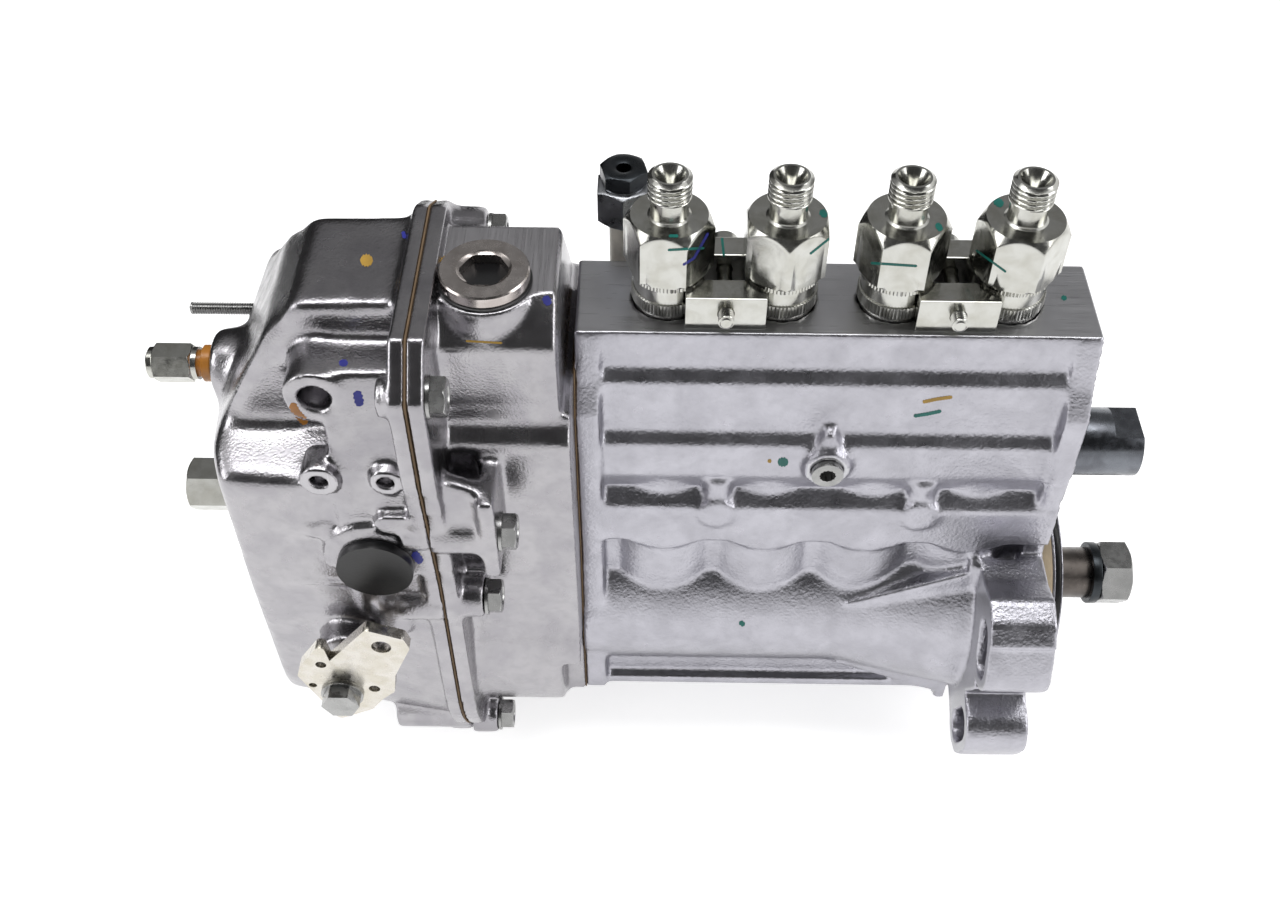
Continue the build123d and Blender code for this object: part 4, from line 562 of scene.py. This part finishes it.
# ================================================================ castings
# machined planes: axis, level, and the corners of the region where the plane is looked for
X, Y, Z = range(3)
EVERYWHERE = ((-400, -400, -400), (400, 400, 400))
FLANGE_RELIEF_X = -0.5      # upper end face, behind the mounting face
BOSS_BACK_X = -24.2
FEED_PUMP_Y = 36.0
WINDOW_Y = 25.0
GUIDE_BOSS_Y = -26.0
pump_planes = [
    (Z, DECK_Z, *EVERYWHERE),
    (X, 0.0, *EVERYWHERE),
    (X, FLANGE_RELIEF_X, *EVERYWHERE),
    (X, TAIL_X, *EVERYWHERE),
    (X, FLANGE_BACK_X, *EVERYWHERE),
    (X, BOSS_BACK_X, *EVERYWHERE),
    (Y, FEED_PUMP_Y, *EVERYWHERE),
    (Y, WINDOW_Y, (-140, 20, 40), (-10, 30, 100)),
    (Y, GUIDE_BOSS_Y, (-82, -30, 70), (-65, -20, 92)),
]
# webs that carry the outline of the flange smoothly over its lugs, seen along X
UPPER_WEB = (
    (-24, 30), (-24, 38.5), (-33, 38), (-42.7, 41), (-50.2, 38.2), (-55.4, 32.4), (-52.5, 31.5),
    (-46.3, 33.2), (-40.5, 30.5), (-36, 24),
)
MIDDLE_WEB = ((-36, 8), (-45, 6), (-53.2, 7), (-49, -1), (-44, -9), (-38, -14))
flange_webs = []
for web in (UPPER_WEB, MIDDLE_WEB):
    for side in (1, -1):
        flange_webs.append(prism_mesh([(side * y, z) for y, z in web], FLANGE_BACK_X, 0.0))
casting("pump_housing", PUMP_CAST, MILLED, pump_planes, flange_webs)

OIL_BOSS_Z = 149.5
governor_planes = [
    (X, COVER_JOINT_X, *EVERYWHERE),
    (X, GOVERNOR_X, *EVERYWHERE),
    (Z, OIL_BOSS_Z, (-190, -35, 145), (-150, 8, 155)),
]
governor_soft = [((-184, -62, 98), (-149, 62, 152), 9), ((-184, -62, -60), (-149, 62, 98), 6)]
# rear part of the rim, out to the cover's edge, seen along X
REAR_RIM = ((29, 118), (34.5, 113.2), (54.8, 100.6), (55, 60), (51, 60), (26, 115))
REAR_RIM_DEPTH = 4.6
governor_webs = [prism_mesh(REAR_RIM, COVER_JOINT_X, COVER_JOINT_X + REAR_RIM_DEPTH)]
casting(
    "governor_housing", GOVERNOR_CAST, FACED, governor_planes,
    governor_webs, governor_soft,
)

COVER_EAR_Y = -54.0
LEVER_BOSS_Y = -59.0
cover_planes = [
    (X, COVER_X, *EVERYWHERE),
    (Y, COVER_EAR_Y, (-225, -58, 98), (-190, -50, 112)),
    (Y, LEVER_BOSS_Y, (-235, -62, 15), (-205, -55, 45)),
]
cover_soft = [
    ((-262, -62, 62), (-222, 62, 156), 45),
    ((-230, -46, 124), (-191, 46, 156), 20),
    ((-262, -62, -62), (-228, 62, 68), 25),
]
RUBBER_PLUG_X = -204.5
RUBBER_PLUG_Z = 72.0
LEDGES = ((57.0, -243, -215), (82.3, -241, -222))       # height, then from where to where along X
LEDGE_HALF = 0.8
ARCH_RADII = (15.4, 12.4)


def cover_ridges():
    """Low ridges on the cover's front: two ledges, and an arch round the rubber plug."""
    shapes = []
    for z, start, end in LEDGES:
        outline = ((start, -46), (start, -50.6), (end, -52.7), (end, -46))
        shapes.append(prism_mesh(outline, z - LEDGE_HALF, z + LEDGE_HALF, "z"))
    arch = []
    for radius, order in zip(ARCH_RADII, (1, -1)):
        for turn in [math.radians(a) for a in range(38, 206, 12)][::order]:
            x = RUBBER_PLUG_X + radius * math.cos(turn)
            arch.append((RUBBER_PLUG_Z + radius * math.sin(turn), x))
    shapes.append(prism_mesh(arch, -55.2, -47, "y"))
    tail = ((86.0, -216.5), (82.2, -213.0), (78.0, -219.0), (81.0, -228.0))
    shapes.append(prism_mesh(tail, -52.6, -47, "y"))
    return shapes


casting(
    "governor_cover", GOVERNOR_CAST, FACED, cover_planes,
    cover_ridges(), cover_soft,
)


# ================================================================ delivery valve holders
HOLDER_HEX = 22
HOLDER_CONE_Z = 26.2        # where the top of the hexagon starts to slope, above the deck
HOLDER_CONE_HEIGHT = 3.4
HOLDER_CONE_STEPS = 8


def holder(number, x, turn_deg):
    """Holder from the deck up: two serrated rings, hexagon, neck, thread and cone."""
    turn = math.radians(turn_deg)
    ring = serrated(10.5, 0.42, 66)
    stations = [(-8.9, 9.85), (1.4, 9.85), (1.6, ring), (5.2, ring), (5.4, 9.8), (10.0, 9.8)]
    stations += [(10.1, ring), (12.1, ring), (12.25, 10.4)]
    corner = HOLDER_HEX / 2 / math.cos(math.pi / 6)
    for height, limit in ((12.3, 11.4), (13.3, corner)):
        stations.append((height, hexagon(HOLDER_HEX, turn, limit)))
    for step in range(HOLDER_CONE_STEPS + 1):
        rise = HOLDER_CONE_HEIGHT * step / HOLDER_CONE_STEPS
        cone = corner + 0.05 - rise * 0.62
        stations.append((HOLDER_CONE_Z + rise, hexagon(HOLDER_HEX, turn, cone)))
    stations += [(29.6, 9.9), (29.6, 6.0), (30.0, 5.4), (30.6, 5.2), (35.6, 5.2)]
    stations += thread(35.9, 42.0, 6.0, 1.5, 0.85)
    stations += [(42.5, 5.2), (42.8, 4.9), (42.8, 4.2), (37.6, 1.3), (31.0, 1.3)]
    shape = lathe((x, 0, DECK_Z), stations, BRIGHT_STEEL, 192, turn)
    piece = joined(f"holder_{number}", [shape], smooth_angle=28)
    put(piece, "housing", (f"delivery_valve_holder_{number}",))


for number, (x, turn) in enumerate(zip(HOLDER_X, HOLDER_TURNS), 1):
    holder(number, x, turn)


# ================================================================ screws, plugs and fittings
FLATS_UP = math.radians(30)     # hexagon along X with flats up and down
SHAFT_NUT_X = 29.3
SHAFT_NUT_END_X = 40.0
COVER_END_X = -257.7
CAPSULE_Z = 97.0
TORQUE_Z = 41.0
STUD_YZ = (30.0, 92.0)
OIL_PLUG = (-170.0, -21.4, 149.0)
INLET = (-134.7, 25.5)
INLET_Z = 104.0
CLAMP_SCREW_Z = DECK_Z + 5.5
# place across the shaft and height of each cover screw, and its seat from the joint
RIM_SCREWS = (
    (-53, 138, 4.6), (-53, 84, 19), (-49, 48, 12), (-37.5, -37.5, 9),
    (37.5, -37.5, 9), (49, 45, 12), (10, 140, 15),
)


def shaft_nut():
    """Nut on the drive end, with the end of the thread inside it."""
    end = SHAFT_NUT_END_X
    stations = hex_bar(SHAFT_NUT_X, end, 20, FLATS_UP)
    stations += [(end, 7.4), (end - 0.7, 6.8), (end - 0.7, 6.1), (end - 0.2, 5.7)]
    shape = lathe((0, 0, 0), stations, GREY_STEEL, 96, FLATS_UP, "x")
    put(joined("shaft_nut_turned", [shape]), "camshaft", ("shaft_nut",))


def idle_capsule():
    """Lock nut on the cover's dome, a short thread and the long cap nut over it."""
    end = COVER_END_X
    place = (0, 0, CAPSULE_Z)
    inner = [(end - 4.6, 4.2), (end + 17.7, 4.2)]
    collar = [(end - 3.0, 5.0), (end - 2.6, 5.6), (end - 0.2, 5.6), (end + 0.2, 5.2)]
    cap = [(end - 19.6, 2.2), (end - 19.6, 4.3), (end - 19.2, 4.8), (end - 17.8, 4.9)]
    cap += hex_bar(end - 17.7, end - 6.0, 10.6, FLATS_UP)
    cap += [(end - 5.9, 5.0), (end - 4.4, 5.0)]
    shapes = [
        lathe(place, inner, LACQUER, 64, 0, "x"),
        lathe(place, collar, LACQUER, 64, 0, "x"),
        lathe(place, cap, BRIGHT_STEEL, 96, FLATS_UP, "x"),
    ]
    put(joined("idle_capsule", shapes), "housing", ("idle_spring_capsule",))


def torque_screw():
    """Long hexagon with a turned rim on its end."""
    end = COVER_END_X
    stations = [(end - 19.0, 4.4), (end - 19.0, 5.2), (end - 19.8, 5.2), (end - 19.5, 5.6)]
    stations += hex_bar(end - 19.6, end + 3.7, 16, FLATS_UP, (True, False))
    stations += [(end + 3.7, 4), (end + 21.7, 4)]
    shape = lathe((0, 0, TORQUE_Z), stations, BRIGHT_STEEL, 96, FLATS_UP, "x")
    put(joined("torque_screw", [shape]), "housing", ("torque_capsule",))


def stop_stud():
    """Thin threaded stud."""
    end = COVER_END_X
    stations = [(end - 15.3, 1.3), (end - 15.0, 1.7)]
    stations += thread(end - 14.8, end + 19.7, 2.0, 0.8, 0.42, 7)
    shape = lathe((0, *STUD_YZ), stations, GREY_STEEL, 40, 0, "x")
    put(joined("stop_stud", [shape], 50), "housing", ("speed_stop_stud",))


def clamp_screws():
    """Two socket screws through the clamp blocks, with their threaded ends in front."""
    shank = [(-17.3, 1.5), (-17.0, 1.9)] + thread(-16.9, -9.0, 2.2, 0.8, 0.42, 7)
    shank += [(-8.9, 2.15), (13.3, 2.15)]
    head = [(13.3, 4.3), (13.5, 4.5), (17.3, 4.5), (17.7, 4.1), (17.7, 2.9)]
    head += [(17.5, hexagon(5, 0)), (15.1, hexagon(5, 0))]
    shapes = []
    for x in CLAMP_X:
        shapes.append(lathe((x, 0, CLAMP_SCREW_Z), shank, BRIGHT_STEEL, 48, 0, "y"))
        shapes.append(lathe((x, 0, CLAMP_SCREW_Z), head, BRIGHT_STEEL, 96, 0, "y"))
    put(joined("clamp_screws_turned", shapes), "housing", ("clamp_screws",))


def oil_plug():
    """Flat ring with a hexagon socket, over its black sealing washer."""
    washer = [(0.5, 12.2), (0.7, 12.5), (1.3, 12.5), (1.45, 12.2)]
    ring = [(-7.5, 8.9), (1.5, 8.9), (1.5, 11.7), (1.8, 12.0), (4.5, 12.0), (5.0, 11.6)]
    ring += [(5.0, 7.3), (4.7, 6.95), (4.4, hexagon(12, FLATS_UP, 6.5))]
    ring += [(4.2, hexagon(12, FLATS_UP)), (-2.0, hexagon(12, FLATS_UP))]
    shapes = [
        lathe(OIL_PLUG, washer, SLOTS["black_rubber"], 96),
        lathe(OIL_PLUG, ring, PLUG_STEEL, 96),
    ]
    put(joined("oil_plug_turned", shapes, 30), "housing", ("oil_plug",))


def inlet_fitting():
    """Stem from the gallery boss, coated pipe, steel hexagon and black union nut."""
    deck = DECK_Z
    foot = (INLET[0], 0, INLET_Z)
    place = (*INLET, 0)
    stem = [(20.5, 5.8), (30.0, 5.8), (30.5, 5.3)]
    pipe = [(INLET_Z - 4, 4.0), (INLET_Z - 4, 4.4), (deck + 9, 4.4)]
    nut = [(deck + 7.5, 5.4), (deck + 8.9, 5.4)] + hex_bar(deck + 9, deck + 20.6, 15, 0)
    nut += [(deck + 20.7, 6.3), (deck + 21, 6.3)]
    union = hex_bar(deck + 21, deck + 26, 12.4, math.radians(15))
    union += [(deck + 26, 3.2), (deck + 25.6, 2.2), (deck + 16, 2.2)]
    shapes = [
        lathe(foot, stem, DARK_STEEL, 64, 0, "y"),
        lathe(foot, [(16, 4.9), (20.6, 4.9)], DARK_STEEL, 64, 0, "y"),
        lathe(place, pipe, CREAM_PIPE, 64),
        lathe(place, nut, SLOTS["spring_steel"], 96),
        lathe(place, union, BLACK_STEEL, 96),
    ]
    put(joined("inlet_fitting", shapes), "housing", ("fuel_inlet_fitting",))


def rim_screws():
    """Hexagon screws with a collar, from the governor housing into the cover."""
    shapes = []
    for y, z, seat in RIM_SCREWS:
        base = COVER_JOINT_X + seat
        stations = [(base - seat - 8, 2.9), (base, 2.9)]
        stations += [(base, 5.7), (base + 0.9, 5.7), (base + 1.0, 5.1)]
        stations += hex_bar(base + 1.0, base + 5.0, 9.6, FLATS_UP, (False, True))
        stations += [(base + 5.0, 3.2), (base + 4.6, 2.9)]
        shapes.append(lathe((0, y, z), stations, GREY_STEEL, 72, FLATS_UP, "x"))
    put(joined("rim_screws_turned", shapes), "housing", ("rim_bolts",))


for make in (
    shaft_nut, idle_capsule, torque_screw, stop_stud,
    clamp_screws, oil_plug, inlet_fitting, rim_screws,
):
    make()


# ================================================================ other CAD nodes
def finish_cad_nodes():
    """Material and rounded edges for the nodes that keep their CAD mesh."""
    for entry in frame["record"]["subparts"]:
        node = frame["nodes"][entry["node"]]
        node.data.materials.clear()
        node.data.materials.append(OWN_FINISH.get(entry["node"], SLOTS[entry["material_slot"]]))
        tidy_cad_mesh(node)


finish_cad_nodes()


# ================================================================ paint marks of the assembly line
# strokes as pixels of the photograph: points along the stroke, then its width
BLUE_MARKS = (
    (((340, 363), (347, 363)), 7), (((357, 392), (360, 405)), 9), (((414, 553), (421, 562)), 8),
    (((545, 297), (549, 304)), 8), (((683, 265), (694, 258), (708, 233)), 2.5),
    (((403, 232), (405, 238)), 4),
)
YELLOW_MARKS = (
    (((362, 260), (371, 261)), 12), (((441, 262), (448, 257)), 6), (((768, 461), (771, 461)), 4),
    (((923, 402), (937, 399), (952, 397)), 3.5), (((466, 341), (502, 343)), 2),
)
GREEN_MARKS = (
    (((779, 462), (787, 462)), 9), (((740, 622), (744, 625)), 5), (((668, 250), (704, 248)), 2.5),
    (((669, 236), (678, 236)), 3), (((722, 238), (724, 257)), 2.5), (((821, 211), (826, 216)), 7),
    (((810, 254), (830, 238)), 2.2), (((937, 224), (941, 230)), 6),
    (((871, 263), (917, 266)), 2.5), (((995, 200), (1002, 205)), 8),
    (((976, 250), (1006, 272)), 2.2), (((1062, 297), (1066, 299)), 5),
    (((914, 416), (927, 414), (941, 411)), 3.5),
)
ORANGE_MARKS = ((((292, 404), (296, 412), (306, 423)), 8),)
STROKE_TIP = 0.3            # a stroke runs this share of its half width past its end points
STROKE_STEP = 0.9           # pixels between two rows of points
STROKE_COLUMNS = 6          # faces across a stroke
STROKE_WAVE = 0.14          # its width swells and shrinks by this share
STROKE_WAVE_RATE = 1.1
STROKE_BLUNT = 0.01         # square of the share of its half width that is left at its very end
PAINT_LIFT = 0.05 * MM
PAINT_JUMP = 1.2 * MM       # a face whose corners differ more in depth hangs over an edge
PAINTED = ("pump_housing_cast", "governor_housing_cast", "governor_cover_cast")


def seen_surface():
    """Search tree of the surfaces that carry paint."""
    meshes = [bpy.data.objects[name].data for name in PAINTED]
    meshes += [bpy.data.objects[f"holder_{k + 1}"].data for k in range(len(HOLDER_X))]
    meshes.append(frame["nodes"]["clamp_blocks"].data)
    points, faces = [], []
    for mesh in meshes:
        corners = [v.co.copy() for v in mesh.vertices]
        append_mesh(points, faces, corners, [p.vertices for p in mesh.polygons])
    return BVHTree.FromPolygons(points, faces)


def stepped(start, end, length):
    """The pixel that lies a length past the end of a line."""
    whole = math.dist(start, end)
    return tuple(b + (b - a) * length / whole for a, b in zip(start, end))


def stroke_rows(corners, width):
    """Rows of pixels across a stroke whose ends are round and whose edges wave a little."""
    cap = width / 2
    tip = cap * STROKE_TIP
    first = stepped(corners[1], corners[0], tip)
    last = stepped(corners[-2], corners[-1], tip)
    corners = (first, *corners[1:-1], last)
    path = []
    for (u0, v0), (u1, v1) in zip(corners, corners[1:]):
        steps = max(3, round(math.hypot(u1 - u0, v1 - v0) / STROKE_STEP))
        path += [(u0 + (u1 - u0) * k / steps, v0 + (v1 - v0) * k / steps) for k in range(steps)]
    path.append(last)
    rows = []
    for k, (u, v) in enumerate(path):
        ahead = path[min(k + 1, len(path) - 1)]
        behind = path[max(k - 1, 0)]
        length = math.hypot(ahead[0] - behind[0], ahead[1] - behind[1])
        side = ((behind[1] - ahead[1]) / length, (ahead[0] - behind[0]) / length)
        inside = min(math.dist((u, v), path[0]), math.dist((u, v), path[-1]), cap) / cap
        half = cap * math.sqrt(max(STROKE_BLUNT, 1 - (1 - inside) ** 2))
        half *= 1 + STROKE_WAVE * math.sin(STROKE_WAVE_RATE * k + u)
        offsets = [half * (2 * j / STROKE_COLUMNS - 1) for j in range(STROKE_COLUMNS + 1)]
        rows.append([(u + side[0] * off, v + side[1] * off) for off in offsets])
    return rows


def paint(name, tree, marks, material):
    """Thin strokes laid on the surface where the photograph's pixels show them."""
    right, down, forward = camera_axes()
    points, faces = [], []
    for corners, width in marks:
        rows = []
        for pixels in stroke_rows(corners, width):
            row = []
            for u, v in pixels:
                ray = forward * PHOTO_FOCAL + right * (u - PHOTO_WIDTH / 2)
                ray += down * (v - PHOTO_HEIGHT / 2)
                place, normal, _, distance = tree.ray_cast(CAMERA_PLACE, ray.normalized())
                if place is None:
                    row.append(None)
                    continue
                if normal.dot(ray) > 0:
                    normal = -normal
                row.append((len(points), distance))
                points.append(place + normal * PAINT_LIFT)
            rows.append(row)
        for first, second in zip(rows, rows[1:]):
            for j in range(STROKE_COLUMNS):
                corner = (first[j], first[j + 1], second[j + 1], second[j])
                if None in corner:
                    continue
                depths = [c[1] for c in corner]
                if max(depths) - min(depths) < PAINT_JUMP:
                    faces.append(tuple(c[0] for c in corner))
    used = sorted({i for face in faces for i in face})
    renumbered = {old: new for new, old in enumerate(used)}
    kept = [tuple(renumbered[i] for i in face) for face in faces]
    piece = mesh_object(name, [points[i] for i in used], kept, material, 60)
    put(piece, "housing")


painted = seen_surface()
paint("paint_blue", painted, BLUE_MARKS, PAINTS["blue"])
paint("paint_yellow", painted, YELLOW_MARKS, PAINTS["yellow"])
paint("paint_green", painted, GREEN_MARKS, PAINTS["green"])
paint("lacquer_mark", painted, ORANGE_MARKS, LACQUER)


# ================================================================ studio
WORLD_LIGHT = 0.30          # strength of the white world for the rays that carry light
FLOOR_GLOW = 0.62           # emission of the floor for the eye
FLOOR_HALF = 3.0
FLOOR_GAP = 0.0002


def plain(name, colour):
    """Matt material of the studio and the shader that sets it."""
    made = bpy.data.materials.new(name)
    made.use_nodes = True
    shader = made.node_tree.nodes["Principled BSDF"]
    shader.inputs["Base Color"].default_value = (*colour, 1)
    shader.inputs["Roughness"].default_value = 0.9
    shader.inputs["Emission Color"].default_value = (1, 1, 1, 1)
    return made, shader


def shown_to_eye(tree):
    """1 for camera, glossy and transmission rays, 0 for the rays that only carry light."""
    path = tree.nodes.new("ShaderNodeLightPath")
    shown = path.outputs["Is Camera Ray"]
    for kind in ("Is Glossy Ray", "Is Transmission Ray"):
        either = tree.nodes.new("ShaderNodeMath")
        either.operation = "ADD"
        either.use_clamp = True
        tree.links.new(shown, either.inputs[0])
        tree.links.new(path.outputs[kind], either.inputs[1])
        shown = either.outputs[0]
    return shown


def add_world():
    """White world, full for the eye and weaker as a light."""
    world = bpy.data.worlds.new("studio")
    world.use_nodes = True
    scene.world = world
    tree = world.node_tree
    background = tree.nodes["Background"]
    background.inputs["Color"].default_value = (1, 1, 1, 1)
    level = tree.nodes.new("ShaderNodeMapRange")
    level.inputs["To Min"].default_value = WORLD_LIGHT
    level.inputs["To Max"].default_value = 1.0
    tree.links.new(shown_to_eye(tree), level.inputs["Value"])
    tree.links.new(level.outputs["Result"], background.inputs["Strength"])


def add_floor(level_z):
    """White floor that glows for the eye and still takes the object's shadow."""
    sides = ((-1, -1), (1, -1), (1, 1), (-1, 1))
    corners = [(a * FLOOR_HALF, b * FLOOR_HALF, level_z) for a, b in sides]
    material, shader = plain("floor white", (0.9, 0.9, 0.9))
    glow = material.node_tree.nodes.new("ShaderNodeMath")
    glow.operation = "MULTIPLY"
    glow.inputs[1].default_value = FLOOR_GLOW
    links = material.node_tree.links
    links.new(shown_to_eye(material.node_tree), glow.inputs[0])
    links.new(glow.outputs[0], shader.inputs["Emission Strength"])
    floor = mesh_object("floor", corners, [(0, 1, 2, 3)], material)


def add_lamp(name, place, aim, size, power):
    """Rectangular lamp at a place, turned to what it lights."""
    data = bpy.data.lights.new(name, "AREA")
    data.shape = "RECTANGLE"
    data.size, data.size_y = size
    data.energy = power
    lamp = bpy.data.objects.new(name, data)
    scene.collection.objects.link(lamp)
    lamp.location = place
    lamp.rotation_euler = (Vector(aim) - Vector(place)).to_track_quat("-Z", "Y").to_euler()


def add_card(name, place, aim, size, shade):
    """Card that only metal reflects: no shadow, no light, and the camera doesn't see it."""
    facing = (Vector(aim) - Vector(place)).normalized()
    side = facing.cross(Vector((0, 0, 1))).normalized()
    up = side.cross(facing)
    half_w, half_h = size[0] / 2, size[1] / 2
    corners = []
    for a, b in ((-1, -1), (1, -1), (1, 1), (-1, 1)):
        corners.append(Vector(place) + side * a * half_w + up * b * half_h)
    material, shader = plain(name, (0, 0, 0))
    shader.inputs["Emission Strength"].default_value = shade
    shader.inputs["Specular IOR Level"].default_value = 0
    card = mesh_object(name, corners, [(0, 1, 2, 3)], material)
    card.visible_camera = False
    card.visible_diffuse = False
    card.visible_shadow = False


MIDDLE = (-0.12, 0.0, 0.05)
add_camera()
add_world()
add_floor(cad_bounds[0][2] - FLOOR_GAP)
add_lamp("top light", (-0.12, 0.05, 1.15), MIDDLE, (1.3, 0.3), 6)
add_lamp("left light", (-1.1, -0.25, 0.6), MIDDLE, (0.7, 0.5), 4)
add_lamp("right light", (0.9, -0.25, 0.6), MIDDLE, (0.7, 0.5), 4)
add_card("front card", (-0.12, -0.50, 0.62), MIDDLE, (2.6, 0.95), 0.065)
add_card("back card", (-0.12, 0.62, 0.68), MIDDLE, (2.2, 0.85), 0.26)
add_card("left card", (-0.50, 0.26, 0.12), (-0.24, 0.0, 0.12), (0.8, 0.5), 0.035)

scene.view_settings.view_transform = "Standard"
